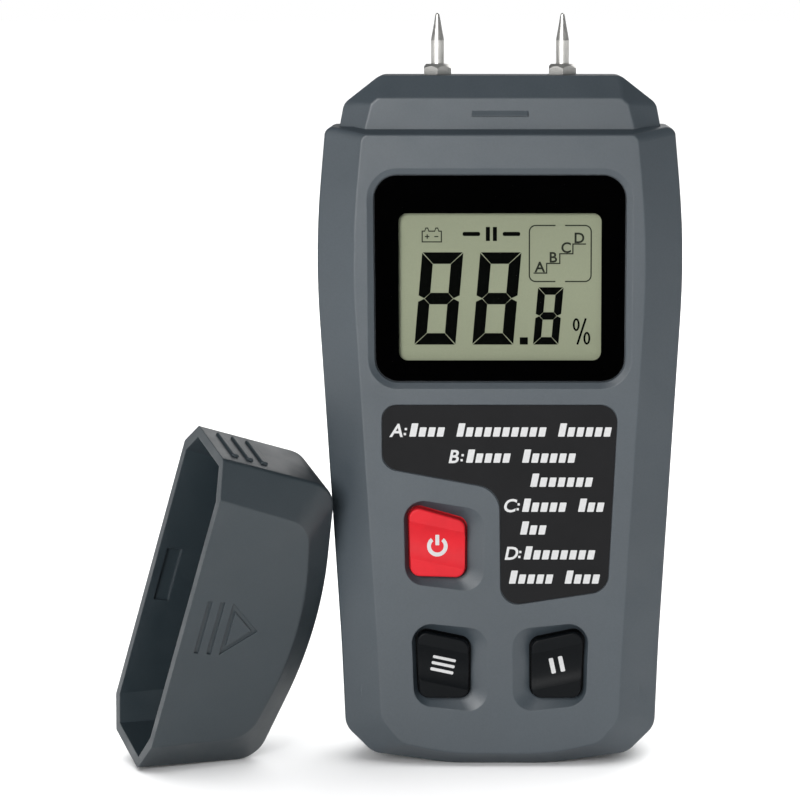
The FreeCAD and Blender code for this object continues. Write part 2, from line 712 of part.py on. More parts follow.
def hollow(body, back):
    """The hollow of a case half, an even wall inside its outer form."""
    wall = dim("wall")
    depth = dim("shoulder_depth" if back else "front_depth")
    wide = dim("back_bevel_wide" if back else "front_bevel_wide")
    deep = dim("back_bevel_deep" if back else "front_bevel_deep")
    sign = -1 if back else 1
    straight = depth - deep - wall * 0.55
    inner = case_corners(wall, wall, wall)
    face = case_corners(wide + wall * 0.4, wall + 0.6, wall + 2.4)
    pocket(body, "inside", placed_sketch(body, "inside_outline", inner, 0), straight, not back)
    foot = placed_sketch(body, "inside_bevel_foot", inner, straight * sign)
    top = placed_sketch(body, "inside_bevel_face", face, (depth - wall) * sign)
    loft(body, "inside_bevel", foot, top, subtractive=True)
    low, high = dim("top_level") - 3, dim("head_level") - wall
    half = dim("head_half") - wall - 0.4
    slope = [
        (half, low),
        (half, dim("head_side_level") - 2),
        (dim("head_top_half") - 1.4, high),
    ]
    head_inside = placed_sketch(body, "head_inside_outline", mirrored_outline(slope), 0)
    pocket(body, "head_inside", head_inside, dim("head_depth") - wall, not back)


def catch(body, back):
    """Wedge that the cap snaps over, with a sharp lower lip."""
    sign = 1 if back else -1
    side_view = [
        ((dim("head_depth") - 0.4) * sign, dim("catch_level")),
        ((dim("head_depth") + dim("catch_proud")) * sign, dim("catch_level")),
        ((dim("head_depth") - 0.4) * sign, dim("catch_level") + dim("catch_tall")),
    ]
    sketch = placed_sketch(body, "catch_profile", side_view, 0, "YZ_Plane")
    pad(body, "catch", sketch, dim("catch_wide"), both_ways=True)


def saddles(body, back):
    """Saddles that clamp the two pin sockets."""
    for name, side in SIDES:
        x = dim("pin_half_spacing") * side
        saddle = rectangle(x - dim("saddle_half"), x + dim("saddle_half"),
                           dim("saddle_low"), dim("saddle_low") + dim("saddle_tall"))
        sketch = placed_sketch(body, f"{name}_saddle_outline", saddle, 0)
        pad(body, f"{name}_saddle", sketch, dim("head_depth") - 1, back)
    for name, side in SIDES:
        x = dim("pin_half_spacing") * side
        sketch = sketch_on(body, "XY_Plane", f"{name}_socket_bore_circle", dim("saddle_low") - 1)
        circles(sketch, [(x, 0)], dim("socket_dia") + dim("socket_play"))
        doc.recompute()
        pocket(body, f"{name}_socket_bore", sketch, 4.2, True)
        sketch = sketch_on(body, "XY_Plane", f"{name}_stud_hole_circle", dim("head_level") - 4)
        circles(sketch, [(x, 0)], dim("stud_dia") + dim("stud_play"))
        doc.recompute()
        pocket(body, f"{name}_stud_hole", sketch, 6, True)


def front_case():
    body = new_body("front_case")
    outer_form(body, back=False)
    hollow(body, back=False)
    face = dim("front_depth")
    saddles(body, back=False)
    catch(body, back=False)
    # window: sloping rim, seat for the lens, opening for the display
    rim = placed_sketch(body, "rim_outline", lens_corners(dim("lens_rim")), face + 0.01)
    seat = placed_sketch(body, "rim_foot", lens_corners(dim("lens_play")), face - dim("lens_sink"))
    loft(body, "rim", rim, seat, subtractive=True)
    seat_cut = dim("lens_sink") + dim("lens_thick")
    outline_ = placed_sketch(body, "lens_seat_outline", lens_corners(dim("lens_play")), face)
    pocket(body, "lens_seat", outline_, seat_cut)
    half = dim("glass_opening_half")
    corners = rectangle(-half, half, dim("glass_opening_low"), dim("glass_opening_high"),
                        dim("opening_round"))
    pocket(body, "opening", placed_sketch(body, "opening_outline", corners, face), 4)
    # shallow recess for the printed panel
    outline_ = placed_sketch(body, "panel_recess_outline", panel_corners(dim("panel_play")), face)
    pocket(body, "panel_recess", outline_, dim("panel_sink"))
    # wells and holes for the keys
    for name, kind, side in KEYS:
        hole = key_corners(kind, side, dim("key_gap"))
        rim = placed_sketch(body, f"{name}_well_rim", well_corners(kind, side), face + 0.01)
        foot = placed_sketch(body, f"{name}_well_foot", hole, face - dim("well_deep"))
        loft(body, f"{name}_well", rim, foot, subtractive=True)
        outline_ = placed_sketch(body, f"{name}_hole_outline", hole, face)
        pocket(body, f"{name}_hole", outline_, 4)
    # screw bosses and the posts that carry the main board
    inside = face - dim("wall")
    places = [
        (dim("screw_x") * side, level)
        for level in (dim("screw_low"), dim("screw_high"))
        for _, side in SIDES
    ]
    sketch = sketch_on(body, "XZ_Plane", "boss_circles", 0)
    circles(sketch, places, dim("boss_dia"))
    doc.recompute()
    pad(body, "bosses", sketch, inside + 0.3)
    sketch = sketch_on(body, "XZ_Plane", "boss_bore_circles", 0)
    circles(sketch, places, dim("screw_dia"))
    doc.recompute()
    pocket(body, "boss_bores", sketch, dim("boss_bore_deep"), True)
    posts = [(dim("post_x") * side, dim(level)) for level in ("post_low", "post_high")
             for _, side in SIDES]
    sketch = sketch_on(body, "XZ_Plane", "post_circles", dim("board_front"))
    circles(sketch, posts, dim("post_dia"))
    doc.recompute()
    pad(body, "posts", sketch, inside - dim("board_front") + 0.3)
    sketch = sketch_on(body, "XZ_Plane", "post_bore_circles", dim("board_front"))
    circles(sketch, posts, dim("post_screw_dia"))
    doc.recompute()
    pocket(body, "post_bores", sketch, dim("post_bore_deep"), True)
    return node("front_case", body)


def rear_case():
    body = new_body("rear_case")
    outer_form(body, back=True)
    hollow(body, back=True)
    saddles(body, back=True)
    catch(body, back=True)
    # walls of the battery bay, then the bay itself, open at the back
    wall, half = dim("bay_wall"), dim("bay_half")
    depth = dim("back_depth") - 3 + dim("bay_front")
    outer = rectangle(-(half + wall), half + wall, dim("bay_low") - wall, dim("bay_high") + wall)
    sketch = placed_sketch(body, "bay_outline", outer, dim("bay_front") + wall)
    pad(body, "bay_walls", sketch, depth + wall, True)
    inner = rectangle(-half, half, dim("bay_low"), dim("bay_high"), dim("bay_round"))
    sketch = placed_sketch(body, "bay_inside_outline", inner, dim("bay_front"))
    pocket(body, "bay", sketch, THROUGH)
    # recess and ledge for the door
    gap = dim("door_gap")
    opening = rectangle(-(dim("door_half") + gap), dim("door_half") + gap,
                        dim("door_low") - gap, dim("door_high") + gap)
    sketch = placed_sketch(body, "door_recess_outline", opening, dim("back_depth") * -1)
    pocket(body, "door_recess", sketch, dim("door_thick") + 0.1, True)
    # blind holes for the hinge pegs of the door
    reach = dim("door_half") + gap + dim("hinge_long")
    sketch = sketch_on(body, "YZ_Plane", "hinge_hole_circle", 0)
    circles(sketch, [(hinge_depth(), hinge_level())], dim("hinge_dia") + dim("hinge_play") * 2)
    doc.recompute()
    pocket(body, "hinge_holes", sketch, reach * 2, both_ways=True)
    # wire slot from the bay to the board
    sketch = placed_sketch(body, "wire_slot_outline",
                           rectangle(-dim("slot_half"), dim("slot_half"),
                                     dim("bay_high") - dim("slot_reach"),
                                     dim("bay_high") + dim("slot_reach")),
                           dim("bay_front") + wall + 1)
    pocket(body, "wire_slot", sketch, dim("slot_deep"))
    # screw holes, sunk from the back
    places = [
        (dim("screw_x") * side, level)
        for level in (dim("screw_low"), dim("screw_high"))
        for _, side in SIDES
    ]
    for name, length in (("screw_low", "low_tube_long"), ("screw_high", "high_tube_long")):
        sketch = sketch_on(body, "XZ_Plane", f"{name}_tube_circles", -0.2)
        pair = [(dim("screw_x") * side, dim(name)) for _, side in SIDES]
        circles(sketch, pair, dim("boss_dia") + dim("tube_wall"))
        doc.recompute()
        pad(body, f"{name}_tubes", sketch, dim(length), True)
    sketch = sketch_on(body, "XZ_Plane", "screw_hole_circles", 1)
    circles(sketch, places, dim("screw_dia") + dim("shank_play"))
    doc.recompute()
    pocket(body, "screw_holes", sketch, THROUGH)
    sketch = sketch_on(body, "XZ_Plane", "screw_sink_circles", dim("screw_seat") * -1)
    circles(sketch, places, dim("screw_head_dia") + dim("head_play"))
    doc.recompute()
    pocket(body, "screw_sinks", sketch, THROUGH)
    return node("rear_case", body)


# ---------------------------------------------------------------- window, display and panel


def window_lens():
    body = new_body("window_lens")
    front = dim("front_depth") - dim("lens_sink")
    sketch = placed_sketch(body, "lens_outline", lens_corners(), front)
    pad(body, "lens", sketch, dim("lens_thick"), True)
    return node("window_lens", body)


def label_panel():
    body = new_body("label_panel")
    level = dim("front_depth") - dim("panel_sink") + 0.01
    pad(body, "panel", placed_sketch(body, "panel_outline", panel_corners(), level), dim("panel_thick"))
    return node("label_panel", body)


def display():
    """Liquid crystal panel in its frame, with its reflector and the two rubber contact strips."""
    half, low, high = dim("glass_half"), dim("glass_low"), dim("glass_high")
    front = -(dim("front_depth") - dim("wall")) + 0.1
    back = -dim("board_front") - 0.02
    glass_back = front + dim("glass_thick")
    node("lcd_glass", box("lcd_glass", (-half, half), (front, glass_back), (low, high)))
    rim, room = dim("frame_rim"), dim("frame_play")
    inset, apart = half - dim("strip_inset"), dim("strip_gap")
    outer = box("lcd_frame_block", (-half - rim, half + rim), (front, back), (low - rim, high + rim))
    inner = box("lcd_frame_room", (-half - room, half + room), (front - 1, back + 1),
                (low - room, high + room))
    node("lcd_frame", cut("lcd_frame", outer, [inner]))
    strip, gap = dim("strip_tall"), 0.04
    depth = (glass_back + gap, back)
    lower = box("lower_contact_strip", (-inset, inset), depth, (low + apart, low + strip))
    upper = box("upper_contact_strip", (-inset, inset), depth, (high - strip, high - apart))
    node("lower_contact_strip", lower)
    node("upper_contact_strip", upper)
    plate = box("lcd_reflector", (-inset, inset), (glass_back + gap, back - 0.2),
                (low + strip + apart, high - strip - apart))
    node("lcd_reflector", plate)


# ---------------------------------------------------------------- keys and their switches

DISH_TURN = 12  # degrees that the dish of a key is turned from the horizontal
DISH_LONG = 40


def key(name, kind, side):
    """A rubber key: a dished stem through the case, and the flange that keeps it in."""
    body = new_body(f"{name}_key")
    face = dim("front_depth") + dim("key_proud")
    flange_top = dim("front_depth") - dim("wall") - dim("flange_play")
    stem = placed_sketch(body, "stem_outline", key_corners(kind, side), face)
    pad(body, "stem", stem, face - flange_top, True)
    fillet(body, "face_edge", at_level(-face.number), dim("key_edge_round"))
    grow = dim("key_gap") + dim("flange_margin")
    flange = placed_sketch(body, "flange_outline", key_corners(kind, side, grow), flange_top)
    pad(body, "flange", flange, dim("flange_thick"), True)
    x, z = key_centre(kind, side)
    tilt = math.radians(DISH_TURN) * side
    dish = body.newObject("PartDesign::SubtractiveCylinder", "dish")
    dish.setExpression("Radius", "dims.dish_radius")
    dish.Height = DISH_LONG
    along = Vector(math.cos(tilt), 0, math.sin(tilt))
    front = face.number + dim("dish_radius").number - dim("dish_deep").number
    middle = Vector(x.number, -front, z.number)
    dish.Placement = Placement(middle - along * (DISH_LONG / 2), Rotation(Vector(0, 0, 1), along))
    doc.recompute()
    return node(f"{name}_key", body)


def key_centre(kind, side):
    corners = key_corners(kind, side)
    x = (corners[0][0] + corners[1][0] + corners[2][0] + corners[3][0]) * 0.25
    z = (corners[0][1] + corners[1][1] + corners[2][1] + corners[3][1]) * 0.25
    return x, z


def switch(name, kind, side):
    """The push switch under a key, and the plunger that the key presses."""
    x, z = key_centre(kind, side)
    half, front = dim("switch_half"), -dim("board_front") - dim("switch_tall")
    block = box(f"{name}_switch_block", (x - half, x + half), (front, -dim("board_front")),
                (z - half, z + half))
    hole = cylinder(f"{name}_switch_hole", dim("plunger_dia") + dim("plunger_play"), 5, x, front - 1, z,
                    Vector(0, 1, 0))
    node(f"{name}_switch", cut(f"{name}_switch", block, [hole]))
    top = -(dim("front_depth") - dim("wall") - dim("flange_play") - dim("flange_thick")) + 0.02
    foot = -dim("board_front") - dim("key_travel") - 0.15
    stem = cylinder(f"{name}_plunger", dim("plunger_dia"), foot - top, x, top, z, Vector(0, 1, 0))
    node(f"{name}_plunger", stem)


# ---------------------------------------------------------------- main board


# Blocks on the back of the board: (x from, x to), (z from, z to), height above the board
BOARD_BLOCKS = {
    "controller_chip": ((-5, 5), (79, 89), 1.5),
    "amplifier_chip": ((9, 13), (88, 93), 1.5),
    "crystal": ((-15.5, -12.5), (76, 84), 2.6),
    "trimmer_block": ((9, 15.6), (74, 80.6), 4.6),
}
CAPACITOR_PLACE = (-12, 91)
TRIMMER_SLOT = ((11.6, 13), (75, 79.6))
# rows and columns of the small chip parts: first middle and spacing, (x, z)
CHIP_ROWS, CHIP_COLUMNS = 3, 5
CHIP_START, CHIP_STEP = (-8, 69.5), (4, 3)

POSTS = [(dim("post_x") * side, dim(level))
         for level in ("post_low", "post_high") for _, side in SIDES]


def main_board():
    front = -dim("board_front")
    back = front + dim("board_thick")
    plate = box("board_plate", (-dim("board_half"), dim("board_half")), (front, back),
                (dim("board_low"), dim("board_high")))
    holes = [cylinder(f"board_hole_{i}", dim("post_screw_dia") + 0.4, 4, x, front - 1, z, Vector(0, 1, 0))
             for i, (x, z) in enumerate(POSTS, start=1)]
    node("main_board", cut("main_board", plate, holes))
    blocks = {
        name: box(name, x, (back, back + height), z) for name, (x, z, height) in BOARD_BLOCKS.items()
    }
    for name in ("controller_chip", "amplifier_chip", "crystal"):
        node(name, blocks[name])
    x, z = CAPACITOR_PLACE
    can = cylinder("capacitor", dim("capacitor_dia"), dim("capacitor_tall"), x, back, z, Vector(0, 1, 0))
    node("capacitor", rounded_can("capacitor_can", can))
    x, z = TRIMMER_SLOT
    floor = BOARD_BLOCKS["trimmer_block"][2] - dim("trimmer_slot_deep")
    slot = box("trimmer_slot", x, (back + floor, back + floor + 1), z)
    node("trimmer", cut("trimmer", blocks["trimmer_block"], [slot]))
    chips = []
    half_x, half_z, tall = dim("chip_half_wide"), dim("chip_half_tall"), dim("chip_thick")
    for row_ in range(CHIP_ROWS):
        for column in range(CHIP_COLUMNS):
            x = CHIP_START[0] + column * CHIP_STEP[0]
            z = CHIP_START[1] + row_ * CHIP_STEP[1]
            chips.append(box(f"chip_part_{row_}_{column}", (x - half_x, x + half_x), (back, back + tall),
                             (z - half_z, z + half_z)))
    node("chip_parts", group("chip_parts", chips))


def rounded_can(name, can):
    return rounded(name, can, dim("capacitor_round"), lambda b: b.YMin > can.Placement.Base.y + 5)


# ---------------------------------------------------------------- pins and their sockets


def pin(name, side):
    """Screw-in pin: threaded end, chamfered hexagon, shaft and blunted point."""
    x = dim("pin_half_spacing") * side
    seat = dim("head_level") + 0.02
    stud = cylinder(f"{name}_stud", dim("stud_dia"), dim("stud_long") + 0.2, x, 0, seat - dim("stud_long"))
    hexagon = doc.addObject("Part::Prism", f"{name}_hexagon")
    hexagon.Polygon = 6
    hexagon.setExpression("Circumradius", "dims.hex_flats / 2 / cos(30 deg)")
    hexagon.setExpression("Height", "dims.hex_tall")
    hexagon.Placement = Placement(Vector(0, 0, 0), Rotation(Vector(0, 0, 1), 90))
    hexagon.setExpression("Placement.Base.x", x.formula)
    hexagon.setExpression("Placement.Base.z", seat.formula)
    crown = cone(f"{name}_crown", dim("hex_flats") * 1.55, dim("hex_flats") * 0.86, dim("hex_tall"),
                 x, 0, seat)
    nut = doc.addObject("Part::Common", f"{name}_nut")
    nut.Base = hexagon
    nut.Tool = crown
    shaft = cylinder(f"{name}_shaft", dim("pin_dia"), dim("pin_taper_level") - seat, x, 0, seat)
    point_tall = dim("pin_tip_level") - dim("pin_taper_level") - dim("tip_tall")
    point = cone(f"{name}_point", dim("pin_dia"), dim("pin_tip_dia"), point_tall, x, 0,
                 dim("pin_taper_level"))
    tip = cone(f"{name}_tip", dim("pin_tip_dia"), dim("pin_tip_dia") * 0.4, dim("tip_tall"), x, 0,
               dim("pin_tip_level") - dim("tip_tall"))
    node(f"{name}_pin", fuse(f"{name}_pin", [stud, nut, shaft, point, tip]))


def pin_socket(name, side):
    """Threaded brass socket clamped between the case halves, with its solder tag."""
    x = dim("pin_half_spacing") * side
    top = dim("head_level") - dim("wall") - 0.1
    foot = dim("saddle_low") - dim("socket_foot")
    barrel = cylinder(f"{name}_barrel", dim("socket_dia"), top - foot, x, 0, foot)
    collar = cylinder(f"{name}_collar", dim("socket_dia") + dim("collar_wide"), dim("collar_tall"),
                      x, 0, top - dim("collar_tall"))
    bore = cylinder(f"{name}_bore", dim("stud_dia") + 0.1, 20, x, 0, foot - 1)
    node(f"{name}_socket", cut(f"{name}_socket", fuse(f"{name}_body", [barrel, collar]), [bore]))
    thick, half, inner = dim("tag_thick"), dim("tag_half"), dim("tag_depth")
    ring = cylinder(f"{name}_tag_ring", dim("socket_dia"), thick, x, 0, foot - thick - 0.02)
    tail = box(f"{name}_tag_tail", (x - half, x + half), (inner, inner + thick),
               (foot - dim("tag_long"), foot - 0.02))
    eye = cylinder(f"{name}_tag_eye", dim("stud_dia"), 3, x, 0, foot - 1.5)
    node(f"{name}_tag", cut(f"{name}_tag", fuse(f"{name}_tag_plate", [ring, tail]), [eye]))


def wire(label, points, diameter):
    """Round wire along straight runs joined by tangent arcs."""
    points = [Vector(*point) for point in points]
    runs = [b - a for a, b in zip(points, points[1:])]
    edges, start = [], points[0]
    for before, after, corner in zip(runs, runs[1:], points[1:]):
        half_turn = before.getAngle(after) / 2
        shorter = min(before.Length, after.Length)
        reach = 0.45 * shorter
        inward = Vector(after).normalize() - Vector(before).normalize()
        first = corner - Vector(before).normalize() * reach
        last = corner + Vector(after).normalize() * reach
        radius = reach / math.tan(half_turn)
        centre = corner + inward.normalize() * (radius / math.cos(half_turn))
        middle = centre + (corner - centre).normalize() * radius
        edges.append(Part.LineSegment(start, first).toShape())
        edges.append(Part.Arc(first, middle, last).toShape())
        print(f"{label}: bend radius {radius:.1f} mm")
        start = last
    edges.append(Part.LineSegment(start, points[-1]).toShape())
    path = Part.Wire(edges)
    disc = Part.Wire(Part.makeCircle(diameter / 2, points[0], runs[0]))
    item = doc.addObject("Part::Feature", label)
    item.Shape = path.makePipeShell([disc], True, True)
    expected = math.pi * diameter ** 2 / 4 * path.Length
    assert abs(item.Shape.Volume / expected - 1) < 0.02, f"{label} is not a whole tube"
    return node(label, item)


def wires():
    board_back = (-dim("board_front") + dim("board_thick")).number
    thick = dim("wire_dia").number
    tag_foot = dim("saddle_low").number - 5.2
    for name, side in SIDES:
        x = dim("pin_half_spacing").number * side
        wire(f"{name}_pin_wire", [
            (x, 1.8, tag_foot),
            (x, 1.8, tag_foot - 4.5),
            (x - 0.6 * side, 0.6, tag_foot - 8.5),
            (x - 0.6 * side, board_back + 0.4, tag_foot - 11.6),
        ], thick)
    for name, x in (("red", 3.2), ("black", -3.2)):
        wire(f"battery_{name}_lead", [
            (x, 0.5, 59.2),
            (x, -1.2, 60.6),
            (x, -1.5, 64.4),
            (x * 0.9, board_back + 0.4, 66.2),
        ], thick)


# ---------------------------------------------------------------- battery


def battery():
    half, back = dim("battery_wide") / 2, dim("battery_back")
    front, low = back - dim("battery_deep"), dim("battery_low")
    top = low + dim("battery_tall")
    block = box("battery_block", (-half, half), (front, back), (low, top))
    node("battery", rounded("battery", block, dim("battery_round"), lambda b: b.ZLength > 40))
    middle = (front + back) / 2
    for name, x in (("minus", dim("terminal_x")), ("plus", -dim("terminal_x"))):
        label = f"battery_{name}_stud"
        node(label, cylinder(label, dim(f"{name}_dia"), dim("terminal_tall"), x, middle, top))
    clip_low = top + dim("terminal_tall") + dim("clip_gap")
    clip_wide, clip_deep = half - dim("clip_inset"), dim("clip_half")
    clip = box("battery_clip_block", (-clip_wide, clip_wide), (middle - clip_deep, middle + clip_deep),
               (clip_low, clip_low + dim("clip_thick")))
    node("battery_clip", rounded("battery_clip", clip, dim("clip_round"), lambda b: b.ZLength > 2))
    wide, inset, gap = dim("foam_half"), dim("foam_inset"), dim("foam_gap")
    node("battery_pad", box("battery_pad", (-wide, wide), (front + inset, back - inset),
                            (dim("bay_low") + gap, low - gap)))


GRIP_LINES = 3


def hinge_depth():
    """Depth of the door's hinge line behind the parting plane."""
    return dim("back_depth") - dim("door_thick") / 2


def hinge_level():
    return dim("door_high") - dim("door_thick") / 2


def battery_door():
    body = new_body("battery_door")
    outside = dim("back_depth") * -1
    half, low, high = dim("door_half"), dim("door_low"), dim("door_high")
    sketch = placed_sketch(body, "door_outline", rectangle(-half, half, low, high), outside)
    pad(body, "door", sketch, dim("door_thick"), False)
    # thumb recess and its three grip lines
    thumb = rectangle(-dim("thumb_half"), dim("thumb_half"), low + dim("thumb_low"),
                      low + dim("thumb_high"), dim("thumb_round"))
    sketch = placed_sketch(body, "thumb_outline", thumb, outside)
    pocket(body, "thumb_recess", sketch, dim("thumb_deep"), True)
    for i in range(GRIP_LINES):
        level = low + dim("grip_start") + dim("grip_step") * i
        line = rectangle(-dim("grip_half"), dim("grip_half"), level, level + dim("grip_wide"),
                         dim("grip_round"))
        pad(body, f"grip_{i}", placed_sketch(body, f"grip_{i}_outline", line, outside), 1, False)
    # round top edge about the hinge line, with a peg at each end
    sketch = sketch_on(body, "YZ_Plane", "hinge_circle", 0)
    circles(sketch, [(hinge_depth(), hinge_level())], dim("hinge_dia"))
    doc.recompute()
    reach = half + dim("door_gap") + dim("hinge_long") - dim("hinge_end_gap")
    pad(body, "hinge_pegs", sketch, reach * 2, both_ways=True)
    top = high.number

    def long_top_edge(b):
        return b.ZMin > top - 0.01 and b.XLength > 20

    fillet(body, "hinge_round", long_top_edge, dim("door_thick") / 2 - 0.02)
    fillet(body, "foot_round", lambda b: at_level(-outside.number)(b) and b.ZMax < low.number + 0.01
           and b.XLength > 20, dim("door_edge_round"))
    return node("battery_door", body)


# ---------------------------------------------------------------- fasteners


def screws():
    seat, long = dim("screw_seat"), dim("case_shank_long")
    arm, line = dim("cross_half"), dim("cross_line")
    for_case = []
    for name, level in (("low", dim("screw_low")), ("high", dim("screw_high"))):
        for side_name, side in SIDES:
            x, tag = dim("screw_x") * side, f"{side_name}_{name}_screw"
            head = cylinder(f"{tag}_head", dim("screw_head_dia"), dim("case_head_tall"), x, seat, level,
                            Vector(0, 1, 0))
            shank = cylinder(f"{tag}_shank", dim("screw_dia") - dim("thread_play"), long + 0.1,
                             x, seat - long, level, Vector(0, 1, 0))
            recess = (seat + dim("cross_floor"), seat + 3)
            flat = box(f"{tag}_flat", (x - arm, x + arm), recess, (level - line, level + line))
            upright = box(f"{tag}_upright", (x - line, x + line), recess, (level - arm, level + arm))
            for_case.append(cut(tag, fuse(f"{tag}_whole", [head, shank]), [flat, upright]))
    node("case_screws", group("case_screws", for_case))
    back = -dim("board_front") + dim("board_thick")
    for_board = []
    for i, (x, z) in enumerate(POSTS, start=1):
        head = cylinder(f"board_screw_{i}_head", dim("board_head_dia"), dim("board_head_tall"),
                        x, back + 0.01, z, Vector(0, 1, 0))
        shank = cylinder(f"board_screw_{i}_shank", dim("post_screw_dia") - dim("thread_play"),
                         dim("board_shank_long") + 0.1, x, back - dim("board_shank_long"), z,
                         Vector(0, 1, 0))
        for_board.append(fuse(f"board_screw_{i}", [head, shank]))
    node("board_screws", group("board_screws", for_board))


# ---------------------------------------------------------------- pin cap


def cap_corners(side=0, top=0, mouth=0):
    """Front view of the cap standing on its mouth."""
    crown_round = dim("cap_crown_round") - as_size(side) * 3
    return mirrored_outline([
        (dim("cap_mouth_half") - side, as_size(mouth)),
        (dim("cap_corner_half") - side, dim("cap_corner_level") - top, dim("cap_corner_round")),
    ])[:2] + [(as_size(0), dim("cap_tall") + 1.2 - top, crown_round)] + [
        (-(dim("cap_corner_half") - side), dim("cap_corner_level") - top, dim("cap_corner_round")),
        (-(dim("cap_mouth_half") - side), as_size(mouth)),
    ]


def cap_ring(body, name, level, side=0, top=0, mouth=0):
    return placed_sketch(body, name, cap_corners(side, top, mouth), level)


def pin_cap():
    """Cover for the pins, built as it sits on the head: mouth at z = 0, crown upwards."""
    body = new_body("pin_cap")
    front, back = dim("front_depth"), dim("shoulder_depth") * -1
    front_straight = front - dim("cap_bevel_deep")
    back_straight = back + dim("back_bevel_deep")
    wide, tall = dim("cap_bevel_wide"), dim("cap_bevel_tall")
    whole = front_straight - back_straight
    pad(body, "middle", cap_ring(body, "middle_outline", back_straight), whole)
    foot = cap_ring(body, "front_foot", front_straight)
    loft(body, "front_bevel", foot, cap_ring(body, "front_face", front, wide, tall))
    foot = cap_ring(body, "back_foot", back_straight)
    back_face = cap_ring(body, "back_face", back, dim("back_bevel_wide"), tall * 0.8)
    loft(body, "back_bevel", foot, back_face)
    radius = dim("cap_edge_round")
    above = 0.02
    for name, level in (("front_edge", front), ("front_side_edge", front_straight),
                        ("back_edge", back), ("back_side_edge", back_straight)):
        test = at_level(-level.number)
        fillet(body, name, lambda b, test=test: test(b) and b.ZMax > above, radius)
    # hollow for the head and the pins
    wall = dim("cap_wall")
    steps = (front_straight - wall * 0.5, back_straight + wall * 0.5)
    outline_ = cap_ring(body, "hollow_outline", steps[1], wall, wall, -1)
    pocket(body, "hollow", outline_, steps[0] - steps[1], True)
    foot = cap_ring(body, "hollow_front_foot", steps[0], wall, wall, -1)
    face = cap_ring(body, "hollow_front_face", front - wall, wide + wall * 0.5, tall + wall * 0.6, -1)
    loft(body, "hollow_front", foot, face, subtractive=True)
    foot = cap_ring(body, "hollow_back_foot", steps[1], wall, wall, -1)
    face = cap_ring(body, "hollow_back_face", back + wall, dim("back_bevel_wide") + wall * 0.5,
                    tall * 0.8 + wall * 0.6, -1)
    loft(body, "hollow_back", foot, face, subtractive=True)
    # recesses that the catches of the head snap into
    level = dim("catch_level") - dim("top_level")
    half = dim("catch_wide") / 2 + 0.3
    corners = rectangle(-half, half, level - 0.3, level + dim("catch_tall") + 0.6)
    for name, place in (("front_recess", front - wall - 0.4), ("back_recess", back + wall - 0.5)):
        pocket(body, name, placed_sketch(body, f"{name}_outline", corners, place), 0.9, True)
    # grip ribs on both narrow sides
    slope = math.atan2((dim("cap_mouth_half") - dim("cap_corner_half")).number,
                       dim("cap_corner_level").number)
    for name, side in SIDES:
        for i in range(3):
            along = dim("rib_start") + dim("rib_step") * i
            near, far = along - dim("rib_wide") / 2, along + dim("rib_wide") / 2
            tuck, proud = 0.8, dim("rib_proud")
            profile = [
                (rib_x(near, slope, -tuck) * side, near),
                (rib_x(near, slope, proud) * side, near, 0.35),
                (rib_x(far, slope, proud) * side, far, 0.35),
                (rib_x(far, slope, -tuck) * side, far),
            ]
            middle = (front_straight + back_straight) / 2
            sketch = placed_sketch(body, f"{name}_rib_{i}_profile", profile, middle - dim("rib_long") / 2)
            pad(body, f"{name}_rib_{i}", sketch, dim("rib_long"))
    # pull mark: two bars and a hollow triangle that points at the crown
    start, half, line = dim("mark_start"), dim("mark_half"), dim("mark_line")
    for i in range(2):
        low = start + i * dim("mark_step")
        corners = rectangle(-half, half, low, low + line)
        pocket(body, f"mark_bar_{i}", placed_sketch(body, f"mark_bar_{i}_outline", corners, front),
               dim("mark_deep"))
    low = start + dim("mark_step") * 2
    peak = low + dim("mark_peak")
    sketch = sketch_on(body, "XZ_Plane", "mark_triangle_outline", front)
    outline(sketch, [(-half, low), (half, low), (as_size(0), peak)])
    outline(sketch, [(-half + line * 2.2, low + line), (half - line * 2.2, low + line),
                     (as_size(0), peak - line * 1.5)])
    doc.recompute()
    pocket(body, "mark_triangle", sketch, dim("mark_deep"))
    return node("pin_cap", body)


def rib_x(level, slope, proud):
    """Distance of the cap's narrow side from its centreline, plus a rib's height."""
    return dim("cap_mouth_half") - level * math.tan(slope) + proud


# ---------------------------------------------------------------- assembly


def rest_placement():
    """The loose cap lies on its narrow side on the floor and leans on the left of the case."""
    turn = Rotation(Vector(0, 0, 1), dim("cap_turn").number)
    lean = Rotation(Vector(0, 1, 0), dim("cap_lean").number)
    tip = Rotation(Vector(1, 0, 0), dim("cap_tip").number)
    on_its_side = Rotation(Vector(0, 1, 0), 90)
    place = Vector(dim("cap_rest_x").number, dim("cap_rest_y").number, dim("cap_rest_z").number)
    return Placement(place, turn * lean * tip * on_its_side)


def build():
    front_case()
    rear_case()
    window_lens()
    label_panel()
    display()
    for name, kind, side in KEYS:
        key(name, kind, side)
        switch(name, kind, side)
    main_board()
    for name, side in SIDES:
        pin(name, side)
        pin_socket(name, side)
    wires()
    battery()
    battery_door()
    screws()
    pin_cap().Placement = rest_placement()
    doc.recompute()


def check():
    for item in doc.Objects:
        assert not {"Invalid", "Error"} & set(item.State), f"{item.Label}: {item.State}"
    for label, item in nodes.items():
        assert not item.Shape.isNull() and item.Shape.isValid(), f"{label} is not a valid shape"
        assert item.Shape.Volume > 0.5, f"{label} is empty"
        assert len(item.Shape.Solids) == 1 or item.TypeId == "Part::Compound", f"{label} is in pieces"


def write():
    os.makedirs("parts", exist_ok=True)
    for label, item in nodes.items():
        item.Shape.exportStep(f"parts/{label}.step")
        size = item.Shape.BoundBox
        print(f"{label}: {size.XLength:.1f} x {size.YLength:.1f} x {size.ZLength:.1f} mm, "
              f"{len(item.Shape.Solids)} solid(s)")


build()
check()
write()
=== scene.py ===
import json
import math

import bmesh
import bpy
from mathutils import Matrix, Vector
from mathutils.bvhtree import BVHTree


